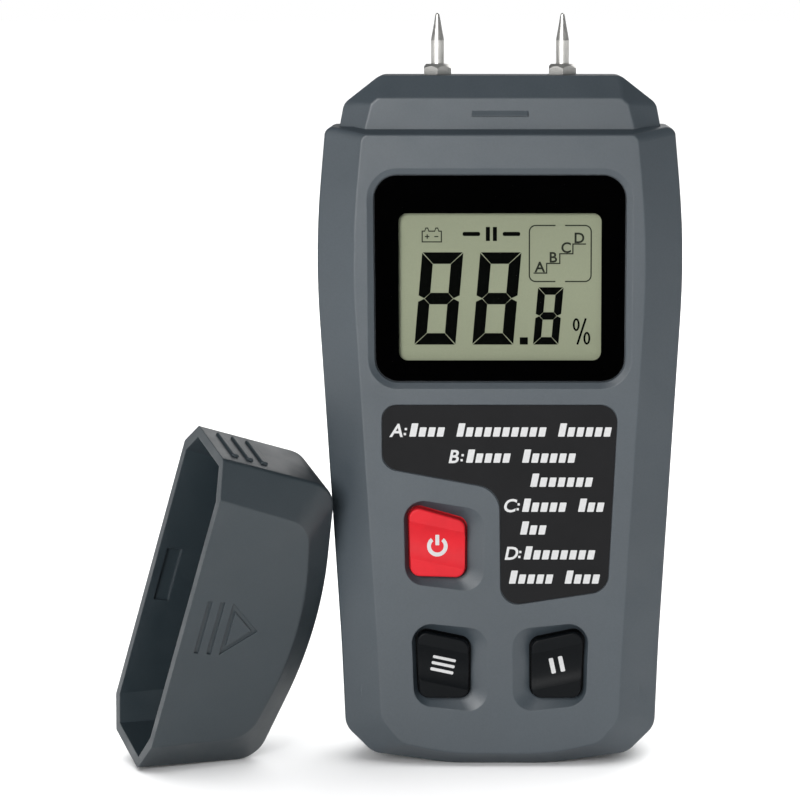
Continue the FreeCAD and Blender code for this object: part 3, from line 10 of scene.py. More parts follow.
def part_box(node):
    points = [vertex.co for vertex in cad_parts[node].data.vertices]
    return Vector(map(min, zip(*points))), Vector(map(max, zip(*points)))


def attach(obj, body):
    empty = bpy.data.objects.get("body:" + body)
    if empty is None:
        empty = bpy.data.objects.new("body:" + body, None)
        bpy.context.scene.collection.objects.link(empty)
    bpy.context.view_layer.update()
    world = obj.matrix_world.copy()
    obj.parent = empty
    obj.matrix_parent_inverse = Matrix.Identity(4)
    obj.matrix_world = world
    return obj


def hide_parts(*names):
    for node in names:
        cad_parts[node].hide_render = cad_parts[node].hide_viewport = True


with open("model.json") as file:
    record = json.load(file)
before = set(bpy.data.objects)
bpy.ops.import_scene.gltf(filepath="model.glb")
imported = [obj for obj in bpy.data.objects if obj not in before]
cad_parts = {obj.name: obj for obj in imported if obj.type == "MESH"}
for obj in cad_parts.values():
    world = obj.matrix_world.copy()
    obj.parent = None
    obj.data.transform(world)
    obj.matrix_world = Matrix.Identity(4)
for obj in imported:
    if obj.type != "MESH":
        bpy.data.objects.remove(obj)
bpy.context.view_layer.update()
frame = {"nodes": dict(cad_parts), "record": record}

# Looks of a two-pin moisture meter and its loose cap. X is right, Y runs from the keys to the back, Z is up.
# Lengths are millimetres in the flat outlines, in the plates made from them and in names with _mm or _MM, and
# metres elsewhere.

MM = 0.001
NODES = frame["nodes"]

# ---------------------------------------------------------------- shader helpers


class Shader:
    """A material with one Principled shader, and short ways to add nodes to it."""

    def __init__(self, name):
        self.material = bpy.data.materials.new(name)
        self.material.use_nodes = True
        self.tree = self.material.node_tree
        self.surface = self.tree.nodes["Principled BSDF"]
        place = self.node("ShaderNodeTexCoord")
        self.place = place.outputs["Object"]

    def node(self, kind, inputs=None, **settings):
        node = self.tree.nodes.new(kind)
        for key, value in settings.items():
            setattr(node, key, value)
        for key, value in (inputs or {}).items():
            self.feed(node.inputs[key], value)
        return node

    def feed(self, socket, value):
        if isinstance(value, bpy.types.NodeSocket):
            self.tree.links.new(value, socket)
        else:
            socket.default_value = value

    def set(self, **values):
        """Set or link sockets of the shader; the keywords are the sockets' names in lower case."""
        sockets = {s.name.lower().replace(" ", "_"): s for s in self.surface.inputs}
        for key, value in values.items():
            self.feed(sockets[key], value)
        return self

    def noise(self, size_mm, detail=3.0, roughness=0.55, stretch=None):
        """Noise whose features are about size_mm across; stretch scales the place along each axis."""
        place = self.place
        if stretch is not None:
            place = self.node("ShaderNodeMapping", {"Vector": place, "Scale": stretch}).outputs[0]
        node = self.node("ShaderNodeTexNoise", {"Vector": place, "Scale": 1 / (size_mm * MM),
                                                "Detail": detail, "Roughness": roughness})
        return node.outputs["Fac"]

    def ramp(self, fac, *stops):
        """Colour ramp through (position, (r, g, b)) stops."""
        ramp = self.node("ShaderNodeValToRGB", {"Fac": fac})
        elements = ramp.color_ramp.elements
        while len(elements) < len(stops):
            elements.new(0.5)
        for element, (position, colour) in zip(elements, stops):
            element.position = position
            element.color = (*colour, 1.0)
        return ramp.outputs["Color"]

    def remap(self, value, low, high, to_low, to_high):
        """The value, moved from the range low to high onto the range to_low to to_high."""
        node = self.node("ShaderNodeMapRange", {"Value": value, "From Min": low, "From Max": high,
                                                "To Min": to_low, "To Max": to_high})
        return node.outputs["Result"]

    def math(self, operation, a, b=0.0):
        return self.node("ShaderNodeMath", {0: a, 1: b}, operation=operation).outputs[0]

    def mix(self, fac, a, b):
        """Colour between a and b, each a socket or an (r, g, b) value."""
        node = self.node("ShaderNodeMix", data_type="RGBA")
        for key, value in (("Factor", fac), ("A", a), ("B", b)):
            socket = next(s for s in node.inputs if s.name == key and s.type in ("VALUE", "RGBA")
                          and (key == "Factor") == (s.type == "VALUE"))
            self.feed(socket, value if isinstance(value, (float, bpy.types.NodeSocket)) else (*value, 1.0))
        return next(s for s in node.outputs if s.type == "RGBA")

    def bump(self, height, depth_mm, strength=1.0, bevel_mm=None):
        """Surface relief; bevel_mm also softens the sharp edges of the mesh."""
        node = self.node("ShaderNodeBump", {"Height": height, "Distance": depth_mm * MM,
                                            "Strength": strength})
        if bevel_mm is not None:
            bevel = self.node("ShaderNodeBevel", {"Radius": bevel_mm * MM}, samples=4)
            self.feed(node.inputs["Normal"], bevel.outputs["Normal"])
        self.set(normal=node.outputs["Normal"])
        return self

    def seam(self, width_mm):
        """1 on the parting plane y = 0, falling to 0 at half the width."""
        depth = self.node("ShaderNodeSeparateXYZ", {"Vector": self.place}).outputs["Y"]
        return self.remap(self.math("ABSOLUTE", depth), 0.0, width_mm * MM / 2, 1.0, 0.0)


def shade(colour, factor):
    return tuple(channel * factor for channel in colour)


GRAIN_DEPTH_MM = 0.012
SEAM_IN_GRAINS = 8.0


def moulded(name, colour, roughness=0.42, grain_mm=0.35, bevel_mm=None, seam_mm=None):
    """Moulded plastic: slightly uneven colour, fine spark-eroded grain, patchy sheen.

    seam_mm is the width of a groove on the parting plane: a shallow dip in the bump, darkened with painted
    shade.
    """
    shader = Shader(name)
    cloud = shader.noise(28, 4)
    tint = shader.ramp(cloud, (0.32, shade(colour, 0.93)), (0.68, shade(colour, 1.06)))
    grain = shader.noise(grain_mm, 2, 0.6)
    speck = shader.ramp(grain, (0.3, (0.90, 0.90, 0.90)), (0.7, (1.0, 1.0, 1.0)))
    mixed = shader.node("ShaderNodeMix", data_type="RGBA", blend_type="MULTIPLY")
    sockets = [s for s in mixed.inputs if s.type == "RGBA"]
    mixed.inputs["Factor"].default_value = 1.0
    shader.feed(sockets[0], tint)
    shader.feed(sockets[1], speck)
    base = next(s for s in mixed.outputs if s.type == "RGBA")
    height = grain
    if seam_mm is not None:
        line = shader.seam(seam_mm)
        # painted shade: the seam's dark line stands in for the shade inside the groove, which is only a bump
        base = shader.mix(line, base, shade(colour, 0.25))
        height = shader.math("SUBTRACT", grain, shader.math("MULTIPLY", line, SEAM_IN_GRAINS))
    shader.set(base_color=base, specular_ior_level=0.65,
               roughness=shader.remap(shader.noise(6, 3), 0.3, 0.7, roughness - 0.05, roughness + 0.06))
    return shader.bump(height, GRAIN_DEPTH_MM, 1.0, bevel_mm).material


def metal(name, colour, roughness):
    """Plated or turned metal with fine lines round its axis and faint handling marks."""
    shader = Shader(name)
    lines = shader.noise(0.5, 3, 0.6, (1.0, 1.0, 6.0))
    marks = shader.noise(3.0, 4)
    tint = shader.ramp(marks, (0.3, shade(colour, 0.9)), (0.7, colour))
    shader.set(base_color=tint, metallic=1.0,
               roughness=shader.remap(lines, 0.3, 0.7, roughness * 0.7, roughness * 1.5))
    return shader.bump(lines, 0.004, 0.6, 0.06).material


def printed_ink(name, colour, roughness=0.45, specular=0.3):
    """Screen-printed ink: thin, with slightly uneven cover."""
    shader = Shader(name)
    cover = shader.noise(0.5, 3)
    shader.set(base_color=shader.ramp(cover, (0.25, shade(colour, 0.9)), (0.75, colour)),
               roughness=shader.remap(cover, 0.3, 0.7, roughness - 0.05, roughness + 0.08),
               specular_ior_level=specular)
    return shader.bump(cover, 0.003, 0.5).material


def rubber(name, colour, roughness=0.5, specular=0.22):
    """Silicone rubber with a satin skin."""
    shader = Shader(name)
    skin = shader.noise(0.25, 3)
    cloud = shader.noise(5.0, 3)
    shader.set(base_color=shader.ramp(cloud, (0.3, shade(colour, 0.92)), (0.7, shade(colour, 1.05))),
               roughness=shader.remap(skin, 0.3, 0.7, roughness - 0.06, roughness + 0.08),
               specular_ior_level=specular, coat_weight=0.02, coat_roughness=0.25)
    return shader.bump(skin, 0.006, 0.8, 0.18).material


COATED_IOR = 1.03


def clear_lens():
    """Clear window: see-through, with a weak reflection that grows at low angles."""
    shader = Shader("lens_clear")
    haze = shader.noise(12, 3)
    shader.set(base_color=shader.ramp(haze, (0.3, (0.02, 0.02, 0.02)), (0.7, (0.03, 0.03, 0.03))),
               roughness=shader.remap(haze, 0.3, 0.7, 0.03, 0.06), specular_ior_level=0.5)
    fresnel = shader.node("ShaderNodeFresnel", {"IOR": COATED_IOR}).outputs[0]
    clear = shader.node("ShaderNodeBsdfTransparent")
    blend = shader.node("ShaderNodeMixShader", {"Fac": fresnel})
    shader.tree.links.new(clear.outputs[0], blend.inputs[1])
    shader.tree.links.new(shader.surface.outputs[0], blend.inputs[2])
    output = next(n for n in shader.tree.nodes if n.type == "OUTPUT_MATERIAL")
    shader.tree.links.new(blend.outputs[0], output.inputs["Surface"])
    return shader.material


def gloss_black(name, colour, roughness, specular):
    """Smooth black film or print."""
    shader = Shader(name)
    haze = shader.noise(9, 3)
    shader.set(base_color=shader.ramp(haze, (0.3, shade(colour, 0.85)), (0.7, shade(colour, 1.1))),
               roughness=shader.remap(haze, 0.3, 0.7, roughness * 0.85, roughness * 1.2),
               specular_ior_level=specular)
    return shader.bump(shader.noise(0.6, 2), 0.002, 0.6).material


DISPLAY_OLIVE = (0.315, 0.342, 0.236)


def display_glass():
    """Twisted-nematic panel: olive grey, a little lighter towards its middle."""
    shader = Shader("display_glass")
    axes = shader.node("ShaderNodeSeparateXYZ", {"Vector": shader.place})
    low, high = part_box("lcd_glass")
    middle, half = (low.z + high.z) / 2, (high.z - low.z) / 2
    # painted shade: the panel darkens towards its top and bottom, where the window's frame shades the sunken
    # display
    from_middle = shader.math("ABSOLUTE", shader.math("SUBTRACT", axes.outputs["Z"], middle))
    painted_shade = shader.remap(from_middle, 0.0, half, 0.0, 1.0)
    tint = shader.mix(painted_shade, DISPLAY_OLIVE, shade(DISPLAY_OLIVE, 0.86))
    weave = shader.noise(0.22, 2)
    grain = shader.ramp(weave, (0.3, shade(DISPLAY_OLIVE, 0.94)), (0.7, shade(DISPLAY_OLIVE, 1.06)))
    shader.set(base_color=shader.mix(0.35, tint, grain), roughness=0.3, specular_ior_level=0.08)
    return shader.bump(weave, 0.002, 0.5).material


def circuit_board():
    """Green solder mask over faint copper tracks."""
    shader = Shader("circuit_board")
    flat = shader.node("ShaderNodeMapping", {"Vector": shader.place, "Rotation": (math.pi / 2, 0, 0)})
    tracks = shader.node("ShaderNodeTexBrick", {
        "Vector": flat.outputs[0], "Scale": 260.0, "Mortar Size": 0.03,
        "Color1": (0.010, 0.11, 0.045, 1), "Color2": (0.012, 0.13, 0.05, 1), "Mortar": (0.03, 0.22, 0.09, 1)})
    shader.set(base_color=tracks.outputs["Color"], roughness=0.35, coat_weight=0.3, coat_roughness=0.2)
    return shader.bump(tracks.outputs["Fac"], 0.03, 0.4).material


# the light band starts at this part of the battery's height, and its edge is this wide
BAND_FROM = 0.72
BAND_BLUR_MM = 0.2


def battery_jacket():
    """Plain printed steel jacket: a dark body with one light band at the terminals' end."""
    shader = Shader("battery_jacket")
    low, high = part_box("battery")
    level = shader.node("ShaderNodeSeparateXYZ", {"Vector": shader.place}).outputs["Z"]
    edge = low.z + (high.z - low.z) * BAND_FROM
    band = shader.remap(level, edge, edge + BAND_BLUR_MM * MM, 0.0, 1.0)
    scuff = shader.noise(2.0, 4)
    colour = shader.mix(band, (0.03, 0.05, 0.10), (0.50, 0.38, 0.12))
    shader.set(base_color=colour, metallic=0.35, roughness=shader.remap(scuff, 0.3, 0.7, 0.25, 0.4))
    return shader.bump(scuff, 0.01, 0.4, 0.2).material


# ---------------------------------------------------------------- materials of the record's slots

CASE_GREY = (0.050, 0.065, 0.078)
CAP_GREY = (0.025, 0.037, 0.045)
DARK_GREY = (0.02, 0.02, 0.02)

MATERIALS = {
    "case_grey": moulded("case_grey", CASE_GREY, 0.44, bevel_mm=0.25, seam_mm=0.3),
    "cap_grey": moulded("cap_grey", CAP_GREY, 0.46, bevel_mm=0.25),
    "lens": clear_lens(),
    "panel": gloss_black("panel_film", (0.018, 0.018, 0.019), 0.5, 0.06),
    "glass": display_glass(),
    "holder": moulded("holder", (0.72, 0.72, 0.68), 0.5),
    "contact_rubber": rubber("contact_rubber", (0.3, 0.3, 0.31)),
    "reflector": moulded("reflector", (0.75, 0.75, 0.7), 0.35),
    "key_red": rubber("key_red", (0.80, 0.020, 0.032), 0.42),
    "key_black": rubber("key_black", (0.003, 0.004, 0.005), 0.34, 0.08),
    "switch_black": moulded("switch_black", DARK_GREY, 0.4),
    "plunger": moulded("plunger", (0.06, 0.06, 0.06), 0.4),
    "board": circuit_board(),
    "chip": moulded("chip", DARK_GREY, 0.5, 0.15),
    "can": metal("can", (0.72, 0.72, 0.74), 0.28),
    "trimmer_blue": moulded("trimmer_blue", (0.02, 0.1, 0.5), 0.4),
    "chip_part": moulded("chip_part", (0.25, 0.18, 0.11), 0.5, 0.2),
    "steel": metal("steel", (0.66, 0.65, 0.62), 0.36),
    "brass": metal("brass", (0.78, 0.56, 0.24), 0.22),
    "tin": metal("tin", (0.7, 0.7, 0.7), 0.32),
    "wire_black": moulded("wire_black", DARK_GREY, 0.4),
    "wire_red": moulded("wire_red", (0.6, 0.02, 0.02), 0.4),
    "battery_jacket": battery_jacket(),
    "clip_vinyl": rubber("clip_vinyl", (0.015, 0.015, 0.015)),
    "foam": rubber("foam", (0.05, 0.05, 0.05), 0.8),
}

for part in frame["record"]["subparts"]:
    mesh = NODES[part["node"]].data
    mesh.materials.clear()
    mesh.materials.append(MATERIALS[part["material_slot"]])

WHITE_INK = printed_ink("white_ink", (0.84, 0.84, 0.84))
KEY_INK = printed_ink("key_ink", (0.80, 0.80, 0.80))
DISPLAY_INK = printed_ink("display_ink", (0.003, 0.0035, 0.003), 0.5, 0.0)
FAINT_INK = printed_ink("faint_ink", (0.030, 0.034, 0.026), 0.5, 0.0)
BLACK_PRINT = gloss_black("black_print", (0.0006, 0.0006, 0.0007), 0.3, 0.0)

# ---------------------------------------------------------------- flat outlines, in millimetres


def moved(loop, x=0.0, z=0.0, turn=0.0, shear=0.0):
    """The loop sheared along X, turned by so many degrees, then moved."""
    cos, sin = math.cos(math.radians(turn)), math.sin(math.radians(turn))
    result = []
    for u, v in loop:
        u += v * shear
        result.append((x + u * cos - v * sin, z + u * sin + v * cos))
    return result


def arc(radius, start, end, steps=16, x=0.0, z=0.0):
    """Points along an arc, angles in degrees."""
    angles = [math.radians(start + (end - start) * i / steps) for i in range(steps + 1)]
    return [(x + radius * math.cos(a), z + radius * math.sin(a)) for a in angles]


def bar(x_low, x_high, z_low, z_high, radius=0.0):
    """Rectangle with rounded corners."""
    if radius <= 0:
        return [(x_low, z_low), (x_high, z_low), (x_high, z_high), (x_low, z_high)]
    loop = []
    for x, z, start in ((x_high - radius, z_high - radius, 0), (x_low + radius, z_high - radius, 90),
                        (x_low + radius, z_low + radius, 180), (x_high - radius, z_low + radius, 270)):
        loop += arc(radius, start, start + 90, 6, x, z)
    return loop


# the longest mitre, as the least cosine of half a corner's turn
MITRE_LEAN = 0.3


def stroke(path, width):
    """Outline of an open line of even width with mitred corners."""
    points = [Vector(p) for p in path]
    sides = []
    for i, point in enumerate(points):
        before = (point - points[i - 1]).normalized() if i else None
        after = (points[i + 1] - point).normalized() if i + 1 < len(points) else None
        along = ((before or after) + (after or before)).normalized()
        across = Vector((-along.y, along.x))
        lean = max(MITRE_LEAN, along.dot(before or after))
        sides.append((point + across * width / 2 / lean, point - across * width / 2 / lean))
    return [tuple(left) for left, _ in sides] + [tuple(right) for _, right in reversed(sides)]


# height of a capital in the font, as a part of the font's size
CAPITAL = 0.73
WELD = 1e-6


def plate(name, loops, material, y_mm, thick_mm=0.03, texts=()):
    """Thin plate facing the reader. Loops inside other loops are holes. y_mm is its back face.

    texts are (character, x, z, height, bold, shear) tuples of single generic characters.
    """
    curve = bpy.data.curves.new(name, "CURVE")
    curve.dimensions = "2D"
    curve.fill_mode = "BOTH"
    curve.extrude = thick_mm / 2
    for loop in loops:
        spline = curve.splines.new("POLY")
        spline.points.add(len(loop) - 1)
        spline.use_cyclic_u = True
        for point, (x, z) in zip(spline.points, loop):
            point.co = (x, z, 0, 1)
    sources = [(curve, Matrix.Identity(4))] if loops else []
    for character, x, z, height, bold, shear in texts:
        font = bpy.data.curves.new(name, "FONT")
        font.body = character
        font.size = height / CAPITAL
        font.offset = bold
        font.shear = shear
        font.extrude = thick_mm / 2
        font.resolution_u = 4
        font.align_x = "CENTER"
        sources.append((font, Matrix.Translation((x, z, 0))))
    whole = bmesh.new()
    for data, place in sources:
        holder = bpy.data.objects.new(name, data)
        bpy.context.scene.collection.objects.link(holder)
        bpy.context.view_layer.update()
        evaluated = holder.evaluated_get(bpy.context.evaluated_depsgraph_get())
        mesh = bpy.data.meshes.new_from_object(evaluated)
        mesh.transform(place)
        whole.from_mesh(mesh)
        bpy.data.objects.remove(holder)
        bpy.data.meshes.remove(mesh)
    stand = Matrix(((MM, 0, 0, 0), (0, 0, -MM, (y_mm - thick_mm / 2) * MM), (0, MM, 0, 0), (0, 0, 0, 1)))
    bmesh.ops.transform(whole, matrix=stand, verts=whole.verts)
    bmesh.ops.remove_doubles(whole, verts=whole.verts, dist=WELD)
    bmesh.ops.recalc_face_normals(whole, faces=whole.faces)
    mesh = bpy.data.meshes.new(name)
    whole.to_mesh(mesh)
    whole.free()
    piece = bpy.data.objects.new(name, mesh)
    bpy.context.scene.collection.objects.link(piece)
    mesh.materials.append(material)
    return piece


WRAP_EDGE_MM = 0.25
WRAP_SPLITS = 5


def wrap(piece, node):
    """Lay a plate on the curved front of a CAD node, its back face on the surface."""
    form = bmesh.new()
    form.from_mesh(piece.data)
    bmesh.ops.triangulate(form, faces=form.faces)
    for _ in range(WRAP_SPLITS):
        long_edges = [e for e in form.edges if e.calc_length() > WRAP_EDGE_MM * MM]
        if not long_edges:
            break
        bmesh.ops.subdivide_edges(form, edges=long_edges, cuts=1)
        bmesh.ops.triangulate(form, faces=[f for f in form.faces if len(f.verts) > 3])
    tree = BVHTree.FromObject(NODES[node], bpy.context.evaluated_depsgraph_get())
    back = max(v.co.y for v in form.verts)
    for vertex in form.verts:
        hit = tree.ray_cast(Vector((vertex.co.x, -1.0, vertex.co.z)), Vector((0, 1, 0)))[0]
        if hit is not None:
            vertex.co.y = hit.y + (vertex.co.y - back)
    form.to_mesh(piece.data)
    form.free()
    return piece


# ---------------------------------------------------------------- window and display

LENS_LOW, LENS_HIGH = (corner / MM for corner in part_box("window_lens"))
GLASS_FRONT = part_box("lcd_glass")[0].y / MM
LENS_ROUND = 4.1
# the lens is this much narrower on each side at its foot
LENS_TAPER = 0.1
# from here to the front the lens is clear, and behind it lies the black print
CLEAR_THICK = 0.55
LENS_SPLIT = LENS_LOW.y + CLEAR_THICK
# both stay inside the CAD lens, and clear of each other
CLEAR_INSET, CLEAR_FRONT_GAP = 0.02, 0.01
PRINT_INSET, PRINT_BACK_GAP, PRINT_THINNER = 0.04, 0.02, 0.06
LENS_EDGE_MM = 0.12
# the window that the print leaves over the display
VIEW_HALF = 17.95
VIEW_ABOVE_FOOT, VIEW_BELOW_TOP = 3.7, 6.7
VIEW_LOW, VIEW_HIGH = LENS_LOW.z + VIEW_ABOVE_FOOT, LENS_HIGH.z - VIEW_BELOW_TOP
VIEW_ROUND = 1.5


def lens_outline(inset):
    top, foot = LENS_HIGH.x - inset, LENS_HIGH.x - LENS_TAPER - inset
    radius = LENS_ROUND - inset
    loop = []
    for x, z, start in ((top - radius, LENS_HIGH.z - inset - radius, 0),
                        (-top + radius, LENS_HIGH.z - inset - radius, 90),
                        (-foot + radius, LENS_LOW.z + inset + radius, 180),
                        (foot - radius, LENS_LOW.z + inset + radius, 270)):
        loop += arc(radius, start, start + 90, 14, x, z)
    return loop


def round_edges(piece, width_mm):
    modifier = piece.modifiers.new("edge", "BEVEL")
    modifier.width = width_mm * MM
    modifier.segments = 3
    modifier.limit_method = "ANGLE"
    modifier.angle_limit = math.radians(40)


def window():
    """Clear lens with a black print behind it, which leaves the display's window free."""
    clear = plate("lens_clear", [lens_outline(CLEAR_INSET)], MATERIALS["lens"], LENS_SPLIT,
                  LENS_SPLIT - LENS_LOW.y - CLEAR_FRONT_GAP)
    round_edges(clear, LENS_EDGE_MM)
    opening = bar(-VIEW_HALF, VIEW_HALF, VIEW_LOW, VIEW_HIGH, VIEW_ROUND)
    border = plate("lens_print", [lens_outline(PRINT_INSET), opening], BLACK_PRINT,
                   LENS_HIGH.y - PRINT_BACK_GAP, LENS_HIGH.y - LENS_SPLIT - PRINT_THINNER)
    for piece in (clear, border):
        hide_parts("window_lens")
        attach(piece, "case")


# Places on the display: x is a part of half the view's width, and a level is a part of the view's height.
# PERCENT_TALL is a part of a large digit's height and STEP_LETTER_X of a step's width. Sizes are millimetres.
VIEW_TALL = VIEW_HIGH - VIEW_LOW
DIGITS_FOOT = VIEW_LOW + VIEW_TALL * 0.105
DIGITS_SHEAR = 0.088
BIG_X = (-0.605, -0.032)
BIG_WIDE, BIG_TALL = VIEW_HALF * 2 * 0.203, VIEW_TALL * 0.628
BIG_THICK, BIG_GAP = BIG_TALL * 0.124, 0.12
SMALL_X = 0.478
SMALL_WIDE, SMALL_TALL = BIG_WIDE * 0.62, BIG_TALL * 0.622
SMALL_THICK, SMALL_GAP = SMALL_TALL * 0.13, 0.1
POINT_X = 0.236
POINT_HALF, POINT_TALL, POINT_ROUND = 0.72, 1.3, 0.1
HELD_X, HELD_LOW, HELD_HIGH = -0.085, 0.81, 0.905
HELD_BAR_HALF, HELD_BAR_AT, HELD_BAR_ROUND = 0.36, 0.62, 0.08
HELD_DASH_FROM, HELD_DASH_TO, HELD_DASH_ROUND = 2.0, 5.1, 0.3
PERCENT_X, PERCENT_TALL, PERCENT_LINE = 0.808, 0.285, 0.36
PERCENT_LEAN = 0.75
PERCENT_RING_AT, PERCENT_RING_LOW, PERCENT_RING_HIGH = 0.95, 0.24, 0.76
PERCENT_RING_WIDE, PERCENT_RING_TALL = 0.62, 1.15
BATTERY_X, BATTERY_Z, BATTERY_WIDE, BATTERY_TALL = -0.673, 0.80, 3.6, 2.1
STEPS_LEFT, STEPS_RIGHT, STEPS_LOW, STEPS_HIGH = 0.29, 0.90, 0.535, 0.915
STEPS_LINE, STEPS_GAP, STEPS_ROUND = 0.22, 0.85, 1.1
STEPS_IN, STEPS_UP = 0.75, 1.5
STEP_WIDE, STEP_TALL = 2.32, 1.72
STEP_LETTER_X, STEP_LETTER_UP, STEP_LETTER_TALL, STEP_LETTER_BOLD = 0.48, 0.2, 1.9, 0.05


def seven_segments(x, width, height, thick, gap):
    """The seven mitred segments of a digit 8, its middle at x."""
    half, middle, cut = width / 2, height / 2, gap / 2
    inner = half - thick
    notch = thick / 2
    # the outer edge of a side ends this far from the digit's middle
    shoulder = notch * 0.55
    top = [(-half + cut * 2, height), (half - cut * 2, height), (inner - cut, height - thick),
           (-inner + cut, height - thick)]
    side = [(half, height - cut * 2), (half, middle + shoulder), (half - notch, middle + cut),
            (inner, middle + notch), (inner, height - thick - cut)]
    bridge = [(-half + notch + cut * 2, middle), (-inner + cut, middle + notch),
              (inner - cut, middle + notch), (half - notch - cut * 2, middle),
              (inner - cut, middle - notch), (-inner + cut, middle - notch)]
    flipped = [(u, height - v) for u, v in side]
    loops = [top, [(u, height - v) for u, v in top], bridge, side, flipped,
             [(-u, v) for u, v in side], [(-u, v) for u, v in flipped]]
    centred = [[(u, v - middle) for u, v in loop] for loop in loops]
    return [moved(loop, x, DIGITS_FOOT + middle, 0, DIGITS_SHEAR) for loop in centred]


def ring(x, z, radius_x, radius_z, line):
    """Outer and inner outline of an upright oval ring."""
    outer = [(u * radius_x, v * radius_z) for u, v in arc(1, 0, 352, 30)]
    inner = [(u * (radius_x - line), v * (radius_z - line)) for u, v in arc(1, 0, 352, 30)]
    return [moved(outer, x, z), moved(inner, x, z)]


def digits():
    """Two large digits, the decimal point and a small digit, with every segment lit."""
    loops = []
    for x in BIG_X:
        loops += seven_segments(VIEW_HALF * x, BIG_WIDE, BIG_TALL, BIG_THICK, BIG_GAP)
    loops += seven_segments(VIEW_HALF * SMALL_X, SMALL_WIDE, SMALL_TALL, SMALL_THICK, SMALL_GAP)
    x, foot = VIEW_HALF * POINT_X, DIGITS_FOOT
    loops.append(bar(x - POINT_HALF, x + POINT_HALF, foot, foot + POINT_TALL, POINT_ROUND))
    return loops


def held_sign():
    """A pause sign between two dashes, which stands for a reading that is held."""
    x, half = VIEW_HALF * HELD_X, HELD_BAR_HALF
    low, high = VIEW_LOW + VIEW_TALL * HELD_LOW, VIEW_LOW + VIEW_TALL * HELD_HIGH
    middle = (low + high) / 2
    loops = []
    for offset in (-HELD_BAR_AT, HELD_BAR_AT):
        loops.append(bar(x + offset - half, x + offset + half, low, high, HELD_BAR_ROUND))
    for side in (-1, 1):
        near, far = x + side * HELD_DASH_FROM, x + side * HELD_DASH_TO
        loops.append(bar(min(near, far), max(near, far), middle - half, middle + half, HELD_DASH_ROUND))
    return loops


def percent_sign():
    x, tall, line = VIEW_HALF * PERCENT_X, BIG_TALL * PERCENT_TALL, PERCENT_LINE
    slash = [(x - PERCENT_LEAN, DIGITS_FOOT), (x + PERCENT_LEAN, DIGITS_FOOT + tall)]
    loops = [stroke(slash, line)]
    loops += ring(x - PERCENT_RING_AT, DIGITS_FOOT + tall * PERCENT_RING_HIGH,
                  PERCENT_RING_WIDE, PERCENT_RING_TALL, line)
    loops += ring(x + PERCENT_RING_AT, DIGITS_FOOT + tall * PERCENT_RING_LOW,
                  PERCENT_RING_WIDE, PERCENT_RING_TALL, line)
    return loops


def battery_outline(edge, foot, top, terminal, terminal_top):
    """Outline mirrored about x = 0. terminal holds the x of a terminal's corners, from the outside in."""
    levels = (top, terminal_top, terminal_top, top)
    right = [(edge, foot), (edge, top), *zip(terminal, levels)]
    left = [(-u, v) for u, v in reversed(right)]
    return left[-1:] + right + left[:-1]


def battery_sign():
    """Outline of a car battery with its two terminals, plus and minus."""
    half, tall, line, thin = BATTERY_WIDE / 2, BATTERY_TALL, 0.2, 0.1
    outer_rise, inner_rise = 0.55, 0.35
    outer_terminal = [half * part for part in (0.72, 0.62, 0.36, 0.26)]
    inner_terminal = [half * part for part in (0.66, 0.56, 0.42, 0.32)]
    body = battery_outline(half, 0, tall, outer_terminal, tall + outer_rise)
    inner = battery_outline(half - line, line, tall - line, inner_terminal, tall + inner_rise)
    minus = bar(half * 0.25, half * 0.65, tall * 0.5 - thin, tall * 0.5 + thin)
    arm = half * 0.22
    cross = [(arm, -thin), (arm, thin), (thin, thin), (thin, arm), (-thin, arm), (-thin, thin),
             (-arm, thin), (-arm, -thin), (-thin, -thin), (-thin, -arm), (thin, -arm), (thin, -thin)]
    plus = moved(cross, -half * 0.45, tall * 0.5)
    x, z = VIEW_HALF * BATTERY_X, VIEW_LOW + VIEW_TALL * BATTERY_Z
    return [moved(loop, x, z) for loop in (body, inner, minus, plus)]


def group_steps():
    """Rounded frame, broken at its middle, round four steps lettered A to D."""
    left, right = VIEW_HALF * STEPS_LEFT, VIEW_HALF * STEPS_RIGHT
    low, high = VIEW_LOW + VIEW_TALL * STEPS_LOW, VIEW_LOW + VIEW_TALL * STEPS_HIGH
    middle, edge, radius = (left + right) / 2, (right - left) / 2, STEPS_ROUND
    frame_half = [(STEPS_GAP, high)]
    frame_half += [(edge - radius + u, high - radius + v) for u, v in arc(radius, 90, 0, 6)]
    frame_half += [(edge - radius + u, low + radius + v) for u, v in arc(radius, 0, -90, 6)]
    frame_half.append((STEPS_GAP, low))
    loops = [stroke([(middle + side * u, v) for u, v in frame_half], STEPS_LINE) for side in (-1, 1)]
    path, letters = [], []
    for i, letter in enumerate("ABCD"):
        x, z = left + STEPS_IN + STEP_WIDE * i, low + STEPS_UP + STEP_TALL * i
        path += [(x, z), (x + STEP_WIDE, z)]
        letters.append((letter, x + STEP_WIDE * STEP_LETTER_X, z + STEP_LETTER_UP,
                        STEP_LETTER_TALL, STEP_LETTER_BOLD, 0.0))
    return loops + [stroke(path, STEPS_LINE)], letters


def display():
    """Everything that the display can show: 88.8 %, the held and battery signs, and the group steps."""
    step_loops, letters = group_steps()
    bold = digits() + held_sign() + percent_sign()
    pieces = [plate("display_segments", bold, DISPLAY_INK, GLASS_FRONT),
              plate("display_lines", battery_sign() + step_loops, FAINT_INK, GLASS_FRONT, texts=letters)]
    for piece in pieces:
        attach(piece, "case")


# ---------------------------------------------------------------- printed panel

PANEL_LOW, PANEL_HIGH = (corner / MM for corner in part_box("label_panel"))

